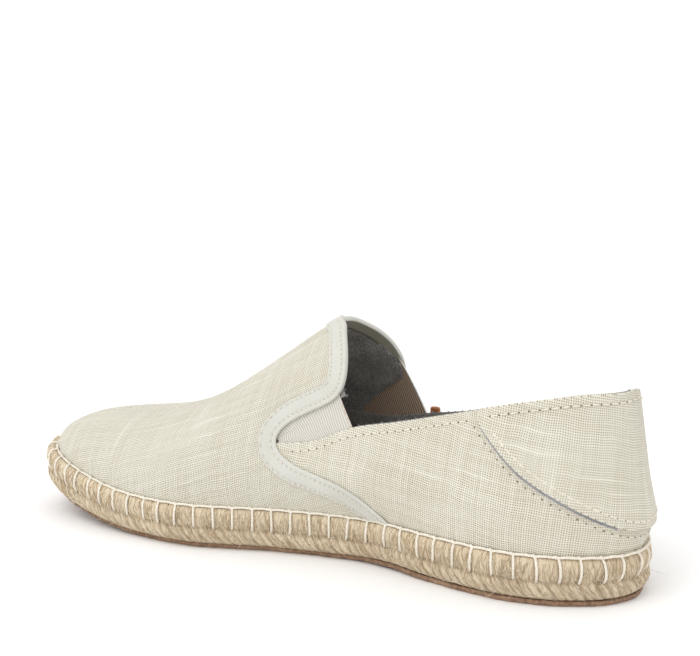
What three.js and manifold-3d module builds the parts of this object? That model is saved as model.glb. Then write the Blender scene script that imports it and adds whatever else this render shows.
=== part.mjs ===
// Right espadrille: a linen slip-on upper with elastic gores on a stitched rope sole.
// Millimetres. The toe points to -Y, the wearer's left (the inner side of a right foot) is +X,
// and the outsole stands on Z = 0.
import * as THREE from "three";
import Module from "manifold-3d";
import { mergeVertices } from "three/addons/utils/BufferGeometryUtils.js";

const wasm = await Module();
wasm.setup();

// ---- Driving dimensions -------------------------------------------------------------------

const soleLength = 291;
const heelEndY = 145.5;
const clearance = 0.3;

// Rope sole seen from above: centre line and half width at stations from the heel end.
const outlineRows = [
  { station: 0, centre: 8.6, half: 36.8 },
  { station: 43, centre: 3.4, half: 40.3 },
  { station: 78, centre: -0.5, half: 37.5 },
  { station: 113, centre: -8, half: 36 },
  { station: 153, centre: -9.5, half: 41 },
  { station: 193, centre: -7, half: 48.5 },
  { station: 228, centre: -8, half: 48 },
  { station: 258, centre: -6.5, half: 45.5 },
  { station: 291, centre: 0, half: 43 },
];
const heelRounding = { length: 66, power: 2.22 };
const toeRounding = { length: 75, power: 2.2 };

const ropeTopAtHeel = 19.6;
const ropeTopAtToe = 18.6;
const toeSpring = { start: 208, rise: 13.5 };
const arch = { start: 75, end: 135, rise: 0.8 };
const outsoleThickness = 2.2;
const outsoleInset = 2.4;
const insoleThickness = 3;
const insoleEase = 1.2;

// Side of the rope sole: share of its height, and how far it stands out of the outline.
const ropeSideRows = [
  { share: 0, out: -2.2 },
  { share: 0.1, out: -0.4 },
  { share: 0.28, out: 0.5 },
  { share: 0.46, out: -0.2 },
  { share: 0.7, out: 0.8 },
  { share: 0.9, out: 0.1 },
  { share: 1, out: -1.6 },
];
const outsoleSideRows = [
  { share: 0, out: -0.5 },
  { share: 0.3, out: 0 },
  { share: 1, out: 0 },
];
const insoleSideRows = [
  { share: 0, out: -0.4 },
  { share: 0.25, out: 0 },
  { share: 0.75, out: 0 },
  { share: 1, out: -0.8 },
];

// Last above the rope: its ridge, the roundness of the section there, and how far the
// inner (medial) and outer (lateral) walls swell out over the rope.
const lastRows = [
  { station: 45, x: 0, z: 148, roundness: 2.4, medialSwell: 3.5, lateralSwell: 3.5 },
  { station: 80, x: 0, z: 130.5, roundness: 2.4, medialSwell: 4, lateralSwell: 3.5 },
  { station: 110, x: -3, z: 112, roundness: 2.3, medialSwell: 8, lateralSwell: 4 },
  { station: 137, x: -4, z: 100.2, roundness: 2.2, medialSwell: 7, lateralSwell: 4 },
  { station: 165, x: -4, z: 82, roundness: 2.1, medialSwell: 5, lateralSwell: 4 },
  { station: 195, x: -5, z: 62.6, roundness: 2.1, medialSwell: 3, lateralSwell: 3 },
  { station: 220, x: -4, z: 52.6, roundness: 2, medialSwell: 2, lateralSwell: 2 },
  { station: 248, x: 0, z: 47.6, roundness: 1.92, medialSwell: 1.5, lateralSwell: 1.5 },
];
const ridgeToe = { start: 205, reach: 43 };
const ridgeHeel = { start: 90, reach: 45 };
// How far the feather line, where the cloth meets the rope, lies inside the rope's outline.
const featherRows = [
  { station: 0, inset: 0.6 },
  { station: 45, inset: 2 },
  { station: 215, inset: 2 },
  { station: 250, inset: 3.2 },
  { station: 291, inset: 4.8 },
];
const swellHeight = 22;
const swellFade = 90;
const heelSwellReach = 45;
// Back of the heel: how far it stands out at a height above the feather line.
const heelSwellRows = [
  { height: 0, swell: -0.6 },
  { height: 4, swell: 0.9 },
  { height: 8, swell: 1.5 },
  { height: 12, swell: 1.5 },
  { height: 20, swell: 0 },
  { height: 30, swell: -1.4 },
  { height: 45, swell: -2.5 },
  { height: 60, swell: -2.9 },
  { height: 140, swell: -3.5 },
];

const upperWall = 1.8;
const goreWall = 1.3;
const panelThickness = 1.5;
const bindingThickness = 0.8;
const bindingWidth = 8.2;
const panelRise = 0.6;

// Edge of the vamp in the side view, from the throat round the gore notch to the rope.
const vampEdgeRows = [
  { medialY: 2, medialZ: 112, lateralY: 2, lateralZ: 112 },
  { medialY: 3.5, medialZ: 104, lateralY: 3.5, lateralZ: 104 },
  { medialY: 5.5, medialZ: 101, lateralY: 4.6, lateralZ: 99.6 },
  { medialY: 13.5, medialZ: 99.9, lateralY: 6.7, lateralZ: 97.3 },
  { medialY: 16.6, medialZ: 96.6, lateralY: 9.3, lateralZ: 94.2 },
  { medialY: 20.2, medialZ: 88.5, lateralY: 14, lateralZ: 89.6 },
  { medialY: 21.6, medialZ: 80, lateralY: 18.3, lateralZ: 83.6 },
  { medialY: 20.4, medialZ: 73.2, lateralY: 21, lateralZ: 76 },
  { medialY: 16.2, medialZ: 68.6, lateralY: 20.2, lateralZ: 69 },
  { medialY: 6.5, medialZ: 63.4, lateralY: 12, lateralZ: 62.6 },
  { medialY: -2, medialZ: 58.4, lateralY: 1, lateralZ: 56.4 },
  { medialY: -6.8, medialZ: 52.6, lateralY: -5.6, lateralZ: 50.6 },
  { medialY: -5.6, medialZ: 46.8, lateralY: -5.2, lateralZ: 44.6 },
  { medialY: 2, medialZ: 41.6, lateralY: 2, lateralZ: 39.6 },
  { medialY: 12.5, medialZ: 38.2, lateralY: 12.5, lateralZ: 36.4 },
  { medialY: 23.2, medialZ: 34.7, lateralY: 23.2, lateralZ: 33.2 },
  { medialY: 33, medialZ: 29.2, lateralY: 33, lateralZ: 28.4 },
  { medialY: 43.5, medialZ: 20, lateralY: 43.5, lateralZ: 20 },
  { medialY: 49, medialZ: 14, lateralY: 49, lateralZ: 14 },
];
// Places on that edge, as row numbers: the top of the gore, and the foot of the gore.
const goreTopRow = 7.4;
const notchRow = 11.6;

// Top line of the quarter, from the foot of the gore to the back of the heel.
const topLineRows = [
  { medialY: -7.5, medialZ: 49.4, lateralY: -6.6, lateralZ: 47.3 },
  { medialY: 9.4, medialZ: 51.8, lateralY: 10, lateralZ: 46.6 },
  { medialY: 27, medialZ: 59, lateralY: 31, lateralZ: 50.6 },
  { medialY: 48.5, medialZ: 64, lateralY: 47, lateralZ: 53.4 },
  { medialY: 74, medialZ: 70, lateralY: 74, lateralZ: 60.2 },
  { medialY: 100.5, medialZ: 76.6, lateralY: 100.5, lateralZ: 67.6 },
  { medialY: 122, medialZ: 80, lateralY: 122, lateralZ: 73.6 },
  { medialY: 137, medialZ: 80, lateralY: 137, lateralZ: 79.2 },
  { medialY: 158, medialZ: 80, lateralY: 158, lateralZ: 80 },
];
const goreBackRow = 2;

// Front edge of the heel panel, from the top line down to the back of the heel.
const panelEdgeRows = [
  { medialY: 81, medialZ: 80, lateralY: 81, lateralZ: 74 },
  { medialY: 85.2, medialZ: 72, lateralY: 85.2, lateralZ: 66.5 },
  { medialY: 90.6, medialZ: 65.4, lateralY: 91, lateralZ: 60.4 },
  { medialY: 103.4, medialZ: 53, lateralY: 103.8, lateralZ: 49.8 },
  { medialY: 119.4, medialZ: 42.7, lateralY: 119.6, lateralZ: 41 },
  { medialY: 135, medialZ: 34, lateralY: 135, lateralZ: 33.6 },
  { medialY: 145, medialZ: 29.6, lateralY: 145, lateralZ: 29.6 },
  { medialY: 158, medialZ: 27, lateralY: 158, lateralZ: 27 },
];

const splitX = -4;
const sideReach = 90;
const aboveAll = 170;
const tab = { y: 35, x: -43.6, width: 6, height: 3.6, thickness: 1.8, round: 1.2, lift: 0.8 };

const ringSteps = 44;
const upperRows = 15;
const upperTop = 0.985;
const curveSteps = 44;

// ---- Small tools --------------------------------------------------------------------------

// Smooth value of one column of a table at a place between its rows.
function valueAt(rows, key, column, place) {
  const last = rows.length - 1;
  const at = THREE.MathUtils.clamp(place, rows[0][key], rows[last][key]);
  let i = 0;
  while (i < last - 1 && at > rows[i + 1][key]) {
    i += 1;
  }
  const slope = (k) => {
    const before = rows[Math.max(k - 1, 0)];
    const after = rows[Math.min(k + 1, last)];
    return (after[column] - before[column]) / (after[key] - before[key]);
  };
  const span = rows[i + 1][key] - rows[i][key];
  const t = (at - rows[i][key]) / span;
  const rise = t * t * (3 - 2 * t);
  return (
    rows[i][column] * (1 - rise) +
    rows[i + 1][column] * rise +
    slope(i) * span * t * (1 - t) * (1 - t) -
    slope(i + 1) * span * t * t * (1 - t)
  );
}

function material(color, roughness) {
  return new THREE.MeshStandardMaterial({ color, roughness, metalness: 0 });
}

function piece(name, geometry, look) {
  const mesh = new THREE.Mesh(geometry, look);
  mesh.name = name;
  return mesh;
}

function toSolid(geometry) {
  const bare = geometry.clone();
  bare.deleteAttribute("normal");
  bare.deleteAttribute("uv");
  const merged = mergeVertices(bare, 1e-4);
  const vertProperties = new Float32Array(merged.attributes.position.array);
  const triVerts = new Uint32Array(merged.index.array);
  return new wasm.Manifold(new wasm.Mesh({ numProp: 3, vertProperties, triVerts }));
}

function toGeometry(solid) {
  const mesh = solid.getMesh();
  const geometry = new THREE.BufferGeometry();
  geometry.setAttribute("position", new THREE.BufferAttribute(mesh.vertProperties, 3));
  geometry.setIndex(new THREE.BufferAttribute(mesh.triVerts, 1));
  geometry.computeVertexNormals();
  return geometry;
}

// Closed solid through rings of equal length. Each ring runs heel, medial, toe, lateral.
function loft(rings) {
  const count = rings[0].length;
  const half = count / 2;
  const index = [];
  for (let j = 0; j + 1 < rings.length; j += 1) {
    for (let i = 0; i < count; i += 1) {
      const a = j * count + i;
      const b = j * count + ((i + 1) % count);
      index.push(a, a + count, b + count, a, b + count, b);
    }
  }
  const top = (rings.length - 1) * count;
  for (let i = 0; i < half; i += 1) {
    const opposite = (count - i) % count;
    const next = count - i - 1;
    index.push(i, i + 1, next);
    index.push(top + i, top + next, top + i + 1);
    if (i > 0 && i + 1 < half) {
      index.push(i, next, opposite);
      index.push(top + i, top + opposite, top + next);
    } else if (i > 0) {
      index.push(i, next, opposite);
      index.push(top + i, top + opposite, top + next);
    }
  }
  const geometry = new THREE.BufferGeometry();
  const positions = rings.flat().flatMap((point) => point.toArray());
  geometry.setAttribute("position", new THREE.Float32BufferAttribute(positions, 3));
  geometry.setIndex(index);
  return geometry;
}

// ---- Sole outline -------------------------------------------------------------------------

// Place 0 to 1 round the shoe: heel end, medial side, toe tip at 0.5, lateral side.
function sideOf(place) {
  const turn = ((place % 1) + 1) % 1;
  return turn <= 0.5 ? { side: 1, share: 2 * turn } : { side: -1, share: 2 - 2 * turn };
}

function stationOf(share) {
  return (soleLength / 2) * (1 - Math.cos(Math.PI * share));
}

function roundedEnds(station) {
  const heel = Math.max(1 - station / heelRounding.length, 0);
  const toe = Math.max((station - soleLength + toeRounding.length) / toeRounding.length, 0);
  return (
    (1 - Math.min(heel, 1) ** heelRounding.power) ** (1 / heelRounding.power) *
    (1 - Math.min(toe, 1) ** toeRounding.power) ** (1 / toeRounding.power)
  );
}

function outlinePoint(place) {
  const { side, share } = sideOf(place);
  const station = stationOf(share);
  const half = valueAt(outlineRows, "station", "half", station) * roundedEnds(station);
  const centre = valueAt(outlineRows, "station", "centre", station);
  return new THREE.Vector2(centre + side * half, station);
}

// How far inside the outline the feather line lies at a place.
function featherInset(place) {
  return valueAt(featherRows, "station", "inset", stationOf(sideOf(place).share));
}

// The outline moved outwards, as x and station, with its outward direction.
function outlineAt(place, out) {
  const step = 2e-4;
  const along = outlinePoint(place + step).sub(outlinePoint(place - step)).normalize();
  const outward = new THREE.Vector2(along.y, -along.x);
  const point = outlinePoint(place).addScaledVector(outward, out);
  return { x: point.x, station: point.y, outward };
}

function springAt(station) {
  const reach = soleLength - toeSpring.start;
  return toeSpring.rise * (Math.max(station - toeSpring.start, 0) / reach) ** 2;
}

function groundAt(station) {
  const t = THREE.MathUtils.clamp((station - arch.start) / (arch.end - arch.start), 0, 1);
  return springAt(station) + arch.rise * Math.sin(Math.PI * t) ** 2;
}

function ropeTopAt(station) {
  const slope = (ropeTopAtToe - ropeTopAtHeel) / soleLength;
  return ropeTopAtHeel + slope * station + springAt(station);
}

// A flat layer of the sole, set in from the outline, between two heights.
function layer(sideRows, insetAt, lowAt, highAt) {
  const rings = sideRows.map(({ share, out }) => {
    const ring = [];
    for (let i = 0; i < 2 * ringSteps; i += 1) {
      const place = i / (2 * ringSteps);
      const edge = outlineAt(place, out - insetAt(place));
      const low = lowAt(edge.station);
      const z = low + share * (highAt(edge.station) - low);
      ring.push(new THREE.Vector3(edge.x, heelEndY - edge.station, z));
    }
    return ring;
  });
  return loft(rings);
}

// ---- The upper's own surface --------------------------------------------------------------

function ridgeStation(station) {
  if (station > ridgeToe.start) {
    const past = (station - ridgeToe.start) / ridgeToe.reach;
    return ridgeToe.start + ridgeToe.reach * (1 - Math.exp(-past));
  }
  if (station < ridgeHeel.start) {
    const past = (ridgeHeel.start - station) / ridgeHeel.reach;
    return ridgeHeel.start - ridgeHeel.reach * (1 - Math.exp(-past));
  }
  return station;
}

function swellAt(side, station, ridge, height) {
  const column = side > 0 ? "medialSwell" : "lateralSwell";
  const rising = Math.sin((Math.PI / 2) * Math.min(height / swellHeight, 1));
  const fading = Math.max(1 - (height - swellHeight) / swellFade, 0);
  const sideShare = height > swellHeight ? fading : rising;
  const walls = valueAt(lastRows, "station", column, ridge) * sideShare;
  const back = valueAt(heelSwellRows, "height", "swell", height);
  const toBack = Math.max(1 - station / heelSwellReach, 0) ** 1.5;
  return walls * (1 - toBack) + back * toBack;
}

// Point of the last: place runs round the shoe, climb 0 to 1 from the feather line to the ridge.
function lastPoint(place, climb) {
  const { side, share } = sideOf(place);
  const station = stationOf(share);
  const feather = outlineAt(place, -featherInset(place));
  const ridge = ridgeStation(station);
  const power = 2 / valueAt(lastRows, "station", "roundness", ridge);
  const angle = (climb * Math.PI) / 2;
  const outwards = Math.cos(angle) ** power;
  const upwards = Math.sin(angle) ** power;
  const ridgeX = valueAt(lastRows, "station", "x", ridge);
  const ridgeZ = valueAt(lastRows, "station", "z", ridge);
  const low = ropeTopAt(feather.station) + clearance;
  const height = (ridgeZ - low) * upwards;
  const swell = swellAt(side, station, ridge, height);
  const x = ridgeX + (feather.x - ridgeX) * outwards + feather.outward.x * swell;
  const along = ridge + (feather.station - ridge) * outwards + feather.outward.y * swell;
  return new THREE.Vector3(x, heelEndY - along, low + height);
}

// The same point moved out along the surface's own normal, kept clear of the rope.
function upperPoint(place, climb, offset) {
  const step = 5e-4;
  const around = lastPoint(place + step, climb).sub(lastPoint(place - step, climb));
  const above = lastPoint(place, Math.min(climb + step, 1));
  const upward = above.sub(lastPoint(place, Math.max(climb - step, 0)));
  const normal = upward.cross(around).normalize();
  const point = lastPoint(place, climb).addScaledVector(normal, offset);
  point.z = Math.max(point.z, ropeTopAt(heelEndY - point.y) + clearance);
  return point;
}

// Closed form of the last at an offset. A skirt below the feather line lets it cut right through.
function upperForm(offset, skirt) {
  const rings = [];
  for (let j = 0; j <= upperRows; j += 1) {
    const ring = [];
    for (let i = 0; i < 2 * ringSteps; i += 1) {
      ring.push(upperPoint(i / (2 * ringSteps), (upperTop * j) / upperRows, offset));
    }
    rings.push(ring);
  }
  if (skirt > 0) {
    const hem = rings[0].map((point) => new THREE.Vector3(point.x, point.y, point.z - skirt));
    rings.unshift(hem);
  }
  return toSolid(loft(rings));
}

// ---- Cutting lines in the side view -------------------------------------------------------

function sideCurve(rows, side) {
  const name = side > 0 ? "medial" : "lateral";
  const points = rows.map((row) => new THREE.Vector2(row[`${name}Y`], row[`${name}Z`]));
  return new THREE.SplineCurve(points);
}

// Part of a side curve between two row numbers.
function stretch(rows, side, from, to, steps) {
  const curve = sideCurve(rows, side);
  const points = [];
  for (let i = 0; i <= steps; i += 1) {
    points.push(curve.getPoint((from + ((to - from) * i) / steps) / (rows.length - 1)));
  }
  return points;
}

// The line moved to its right-hand side by a distance.
function moved(points, distance) {
  return points.map((point, i) => {
    const before = points[Math.max(i - 1, 0)];
    const after = points[Math.min(i + 1, points.length - 1)];
    const along = after.clone().sub(before).normalize();
    return new THREE.Vector2(point.x + along.y * distance, point.y - along.x * distance);
  });
}

// Turns a drawing of (Y, Z) with its depth along the view into the side view itself.
const shapeToSide = new THREE.Matrix4().set(0, 0, 1, 0, 1, 0, 0, 0, 0, 1, 0, 0, 0, 0, 0, 1);

// Prism through one side of the shoe from a side-view polygon of Y and Z.
function sidePrism(polygon, side) {
  const shape = new THREE.Shape(polygon);
  const depth = sideReach;
  const geometry = new THREE.ExtrudeGeometry(shape, { depth, bevelEnabled: false });
  geometry.applyMatrix4(shapeToSide);
  geometry.translate(side > 0 ? splitX : splitX - depth, 0, 0);
  return toSolid(geometry);
}

// Everything the foot opening takes away on one side: above the top line and in the notch.
function footOpening(side, rise) {
  const throat = stretch(vampEdgeRows, side, 0, notchRow, curveSteps);
  const line = stretch(topLineRows, side, 0, topLineRows.length - 1, curveSteps);
  const topLine = line.map((point) => new THREE.Vector2(point.x, point.y + rise));
  const back = topLine[topLine.length - 1].x;
  const corner = [new THREE.Vector2(back, aboveAll), new THREE.Vector2(throat[0].x, aboveAll)];
  return sidePrism([...throat, ...topLine.slice(2), ...corner], side);
}

function gorePrism(side) {
  const upperEdge = moved(stretch(vampEdgeRows, side, goreTopRow, notchRow, 20), -clearance);
  const lowerEdge = moved(stretch(topLineRows, side, 0.12, goreBackRow, 10), -clearance);
  return sidePrism([...upperEdge, ...lowerEdge], side);
}

function bindingPrism(side) {
  const last = vampEdgeRows.length - 1;
  const edge = stretch(vampEdgeRows, side, 0, last, curveSteps + 16);
  return sidePrism([...edge, ...moved(edge, bindingWidth).reverse()], side);
}

function panelPrism(side) {
  const front = stretch(panelEdgeRows, side, 0, panelEdgeRows.length - 1, 24);
  const back = front[front.length - 1].x;
  const corner = [new THREE.Vector2(back, aboveAll), new THREE.Vector2(front[0].x, aboveAll)];
  return sidePrism([...front, ...corner], side).subtract(footOpening(side, panelRise));
}

// ---- Pieces -------------------------------------------------------------------------------

function outsole() {
  const high = (station) => groundAt(station) + outsoleThickness;
  return layer(outsoleSideRows, () => outsoleInset, groundAt, high);
}

function juteSole() {
  const low = (station) => groundAt(station) + outsoleThickness + clearance;
  return layer(ropeSideRows, () => 0, low, ropeTopAt);
}

function insole() {
  const low = (station) => ropeTopAt(station) + clearance;
  const high = (station) => low(station) + insoleThickness;
  const insetAt = (place) => featherInset(place) + upperWall + insoleEase;
  return layer(insoleSideRows, insetAt, low, high);
}

const sides = [1, -1];
const outerForm = upperForm(0, 0);
const openings = sides.map((side) => footOpening(side, 0));
const skirtDepth = 6;

function upper() {
  let shell = outerForm.subtract(upperForm(-upperWall, skirtDepth));
  for (const opening of openings) {
    shell = shell.subtract(opening);
  }
  return toGeometry(shell);
}

function gore(side) {
  const band = outerForm.subtract(upperForm(-goreWall, skirtDepth));
  return toGeometry(band.intersect(gorePrism(side)));
}

// Skin that lies on the outside of the upper, as thick as asked, within the two side prisms.
function overlay(prismOf, thickness) {
  const skin = upperForm(clearance + thickness, 0).subtract(upperForm(clearance, skirtDepth));
  const parts = sides.map((side) => skin.intersect(prismOf(side)));
  return toGeometry(parts[0].add(parts[1]));
}

function sideTab() {
  const shape = new THREE.Shape();
  const half = tab.width / 2;
  shape.moveTo(-half, 0);
  shape.lineTo(half, 0);
  shape.lineTo(half, tab.height - tab.round);
  shape.quadraticCurveTo(half, tab.height, half - tab.round, tab.height);
  shape.lineTo(-half + tab.round, tab.height);
  shape.quadraticCurveTo(-half, tab.height, -half, tab.height - tab.round);
  shape.closePath();
  const settings = { depth: tab.thickness, bevelEnabled: false, curveSegments: 4 };
  const geometry = new THREE.ExtrudeGeometry(shape, settings);
  geometry.translate(0, 0, -tab.thickness / 2);
  return geometry.applyMatrix4(shapeToSide);
}

const linen = material(0xe6dfc6, 0.9);
const microfibre = material(0xe2ded4, 0.7);
const elastic = material(0xddd6cb, 0.8);
const jute = material(0xcdb089, 0.95);
const rubber = material(0x9a7654, 0.75);
const felt = material(0x55534f, 0.95);
const leather = material(0x8a4a22, 0.6);

const espadrille = new THREE.Group();
espadrille.add(piece("outsole", outsole(), rubber));
espadrille.add(piece("jute_sole", juteSole(), jute));
espadrille.add(piece("insole", insole(), felt));
espadrille.add(piece("upper", upper(), linen));
espadrille.add(piece("gore_medial", gore(1), elastic));
espadrille.add(piece("gore_lateral", gore(-1), elastic));
espadrille.add(piece("binding", overlay(bindingPrism, bindingThickness), microfibre));
espadrille.add(piece("heel_panel", overlay(panelPrism, panelThickness), linen));

const tabMesh = piece("side_tab", sideTab(), leather);
const tabSeat = sideCurve(topLineRows, -1).getPoint(goreBackRow / (topLineRows.length - 1));
tabMesh.position.set(tab.x, tab.y, tabSeat.y + tab.lift + clearance);
espadrille.add(tabMesh);

export default espadrille;
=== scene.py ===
# %% [markdown]
# # A right espadrille
# A linen slip-on with two elastic gores, a taped throat, a second linen layer round the heel
# and a rope sole held on with a blanket stitch. Every length in this lesson is in
# millimetres until a mesh is made, because a shoemaker thinks in millimetres. Blender works
# in metres, so one function at the end of the chain divides by a thousand.
#
# The frame comes first. It holds the shoe's plain solids in their real place, and each
# piece made here stands for one of them, so nothing has to be fitted afterwards.

# %% Load the frame
import math

import bmesh
import bpy
import numpy as np
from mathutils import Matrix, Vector


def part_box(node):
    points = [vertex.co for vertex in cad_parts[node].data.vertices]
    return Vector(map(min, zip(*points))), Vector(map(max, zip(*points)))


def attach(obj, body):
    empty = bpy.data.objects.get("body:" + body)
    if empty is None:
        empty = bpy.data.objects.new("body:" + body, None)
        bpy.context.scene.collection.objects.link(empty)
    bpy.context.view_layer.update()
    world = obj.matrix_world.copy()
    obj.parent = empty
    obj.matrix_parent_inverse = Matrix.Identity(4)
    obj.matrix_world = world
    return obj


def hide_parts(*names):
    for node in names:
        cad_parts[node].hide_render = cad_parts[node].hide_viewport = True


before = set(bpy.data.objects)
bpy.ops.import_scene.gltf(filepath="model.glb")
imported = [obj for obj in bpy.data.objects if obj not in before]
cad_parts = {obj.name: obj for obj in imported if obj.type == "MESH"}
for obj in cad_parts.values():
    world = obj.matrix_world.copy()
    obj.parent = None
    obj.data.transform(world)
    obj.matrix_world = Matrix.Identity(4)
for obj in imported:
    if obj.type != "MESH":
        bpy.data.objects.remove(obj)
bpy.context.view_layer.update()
scene = bpy.context.scene

# %% [markdown]
# ## Camera
# The shoe is seen from behind its inner side, a little above the collar, with a short
# telephoto lens, so that the heel is near and the toe runs away to the left.

# %% Place the camera
camera_place = Vector((0.485, 0.246, 0.182))
camera_target = Vector((0.0, 0.0122, 0.0956))
camera_lens = 64.65

camera = bpy.data.objects.new("camera", bpy.data.cameras.new("camera"))
scene.collection.objects.link(camera)
camera.location = camera_place
camera.rotation_mode = "QUATERNION"
camera.rotation_quaternion = (camera_target - camera_place).to_track_quat("-Z", "Y")
camera.data.lens = camera_lens
camera.data.clip_start = 0.01
scene.camera = camera
print("camera distance, mm:", round(1000 * (camera_target - camera_place).length))

# %% [markdown]
# ## Writing shader maths as Python
# A procedural finish is mostly arithmetic: fold a coordinate into threads, find which thread
# lies on top, shade the gaps. Wiring that by hand hides the idea. So a `Wire` stands for one
# socket and knows plus, minus, times and divide, and each operator adds one Math node.
# Everything that is not arithmetic comes from `Finish.node`.

# %% Wires and finishes
class Wire:
    """One output of a node, which can be added, multiplied and compared like a number."""

    def __init__(self, finish, socket):
        self.finish = finish
        self.socket = socket

    def math(self, operation, *others):
        values = {i: value for i, value in enumerate((self, *others))}
        return self.finish.node("Math", {"operation": operation}, values)

    def reversed_math(self, operation, other):
        return self.finish.node("Math", {"operation": operation}, {0: other, 1: self})

    def __add__(self, other):
        return self.math("ADD", other)

    def __sub__(self, other):
        return self.math("SUBTRACT", other)

    def __mul__(self, other):
        return self.math("MULTIPLY", other)

    def __truediv__(self, other):
        return self.math("DIVIDE", other)

    def __rsub__(self, other):
        return self.reversed_math("SUBTRACT", other)

    __radd__ = __add__
    __rmul__ = __mul__

    def floor(self):
        return self.math("FLOOR")

    def fraction(self):
        return self.math("FRACT")

    def size(self):
        return self.math("ABSOLUTE")

    def wave(self):
        return self.math("COSINE")

    def above(self, other):
        return self.math("GREATER_THAN", other)

    def larger(self, other):
        return self.math("MAXIMUM", other)

    def smooth(self, low, high):
        """0 below low, 1 above high, and a soft rise between them."""
        ranges = {"Value": self, "From Min": low, "From Max": high}
        return self.finish.node("MapRange", {"interpolation_type": "SMOOTHSTEP"}, ranges)


class Finish:
    """A material under construction."""

    def __init__(self, name):
        self.material = bpy.data.materials.new(name)
        self.material.use_nodes = True
        self.tree = self.material.node_tree
        self.tree.nodes.clear()

    def node(self, kind, settings=None, sockets=None, out=0):
        made = self.tree.nodes.new("ShaderNode" + kind)
        for key, value in (settings or {}).items():
            if key == "stops":
                self.set_stops(made.color_ramp, value)
            else:
                setattr(made, key, value)
        for key, value in (sockets or {}).items():
            self.feed(made.inputs[key], value)
        return Wire(self, made.outputs[out]) if made.outputs else None

    def set_stops(self, ramp, stops):
        while len(ramp.elements) < len(stops):
            ramp.elements.new(1.0)
        for element, (place, colour) in zip(ramp.elements, stops):
            element.position = place
            element.color = (*colour, 1.0)

    def feed(self, socket, value):
        if isinstance(value, Wire):
            self.tree.links.new(value.socket, socket)
        elif isinstance(value, tuple) and socket.type == "RGBA":
            socket.default_value = (*value, 1.0)
        else:
            socket.default_value = value

    def carried(self, name):
        """A value that the mesh carries at its vertices."""
        return self.node("Attribute", {"attribute_name": name}, out="Fac")

    def noise(self, where, scale, detail=2.0, dimensions="3D"):
        sockets = {"Vector": where, "Scale": scale, "Detail": detail}
        return self.node("TexNoise", {"noise_dimensions": dimensions}, sockets)

    def vector(self, x, y, z=0.0):
        return self.node("CombineXYZ", None, {"X": x, "Y": y, "Z": z})

    def blend(self, share, first, second, way="MIX"):
        settings = {"data_type": "RGBA", "blend_type": way}
        return self.node("Mix", settings, {0: share, 6: first, 7: second}, out=2)

    def surface(self, colour, roughness, height=None, depth=0.2, **constants):
        """Closes the finish with one surface shader. depth is the bump's height in mm."""
        sockets = {"Base Color": colour, "Roughness": roughness}
        if height is not None:
            bump = {"Height": height, "Distance": depth * 0.001, "Strength": 1.0}
            sockets["Normal"] = self.node("Bump", None, bump)
        sockets.update({key.replace("_", " "): value for key, value in constants.items()})
        shader = self.node("BsdfPrincipled", None, sockets)
        self.node("OutputMaterial", None, {"Surface": shader})
        return self.material


def colour(red, green, blue):
    """A colour as a painter reads it off a swatch, 0 to 255, in the linear light of a shader."""
    shares = [value / 255 for value in (red, green, blue)]
    return tuple(s / 12.92 if s <= 0.04045 else ((s + 0.055) / 1.055) ** 2.4 for s in shares)


# %% [markdown]
# ## Floor and light
# A white sweep with a white sky gives the soft, nearly shadowless light of a product table.
# One large lamp above the toe side adds just enough direction for the folds and the rope
# to read. The floor stays a little grey only where the sole keeps the sky away.

# %% Build the studio
floor_half = 4.0
floor_mesh = bpy.data.meshes.new("floor")
corners = [(-1, -1), (1, -1), (1, 1), (-1, 1)]
floor_mesh.from_pydata([(x * floor_half, y * floor_half, 0) for x, y in corners], [], [(0, 1, 2, 3)])
floor = bpy.data.objects.new("floor", floor_mesh)
scene.collection.objects.link(floor)

paper = Finish("paper_floor")
paper_place = paper.node("NewGeometry", out="Position")
paper_grain = paper.noise(paper_place, 300.0)
paper_tone = paper.blend(paper_grain, (0.95, 0.95, 0.95), (0.97, 0.97, 0.97))
floor_mesh.materials.append(paper.surface(paper_tone, 0.9))

sky_strength = 1.06
key_place, key_target = (1.0, -0.3, 1.5), (0, 0, 0.05)
key_width, key_power = 1.1, 8.0
world = bpy.data.worlds.new("white_sky")
scene.world = world
world.use_nodes = True
sky = world.node_tree.nodes["Background"]
sky.inputs["Color"].default_value = (1.0, 1.0, 1.0, 1.0)
sky.inputs["Strength"].default_value = sky_strength


def soft_lamp(name, place, target, width, power):
    lamp = bpy.data.lights.new(name, "AREA")
    lamp.shape = "DISK"
    lamp.size = width
    lamp.energy = power
    holder = bpy.data.objects.new(name, lamp)
    scene.collection.objects.link(holder)
    holder.location = place
    holder.rotation_mode = "QUATERNION"
    aim = Vector(target) - Vector(place)
    holder.rotation_quaternion = aim.to_track_quat("-Z", "Y")


soft_lamp("key_lamp", key_place, key_target, key_width, key_power)
scene.view_settings.view_transform = "Standard"
scene.view_settings.look = "None"

# %% [markdown]
# ## The last
# A shoe is built over a last, and every soft piece of this one lies on the same curved
# surface. The surface is a rule, not a mesh: `place` runs once round the shoe from the heel
# centre, `climb` goes from the seam at the rope (0) to the ridge of the instep (1). The
# tables are the ones that the solids were made from, so both agree to a hair.

# %% Sizes of sole and last
sole_length = 291.0
heel_end_y = 145.5
clearance = 0.3
# station from the heel end, centre line, half width
outline_rows = [(0, 8.6, 36.8), (43, 3.4, 40.3), (78, -0.5, 37.5), (113, -8, 36), (153, -9.5, 41),
                (193, -7, 48.5), (228, -8, 48), (258, -6.5, 45.5), (291, 0, 43)]
heel_rounding = (66.0, 2.22)
toe_rounding = (75.0, 2.2)
rope_top_at_heel, rope_top_at_toe = 19.6, 18.6
spring_start, spring_rise = 208.0, 13.5
arch_start, arch_end, arch_rise = 75.0, 135.0, 0.8
outsole_thickness = 2.2
outsole_inset = 2.4
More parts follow.
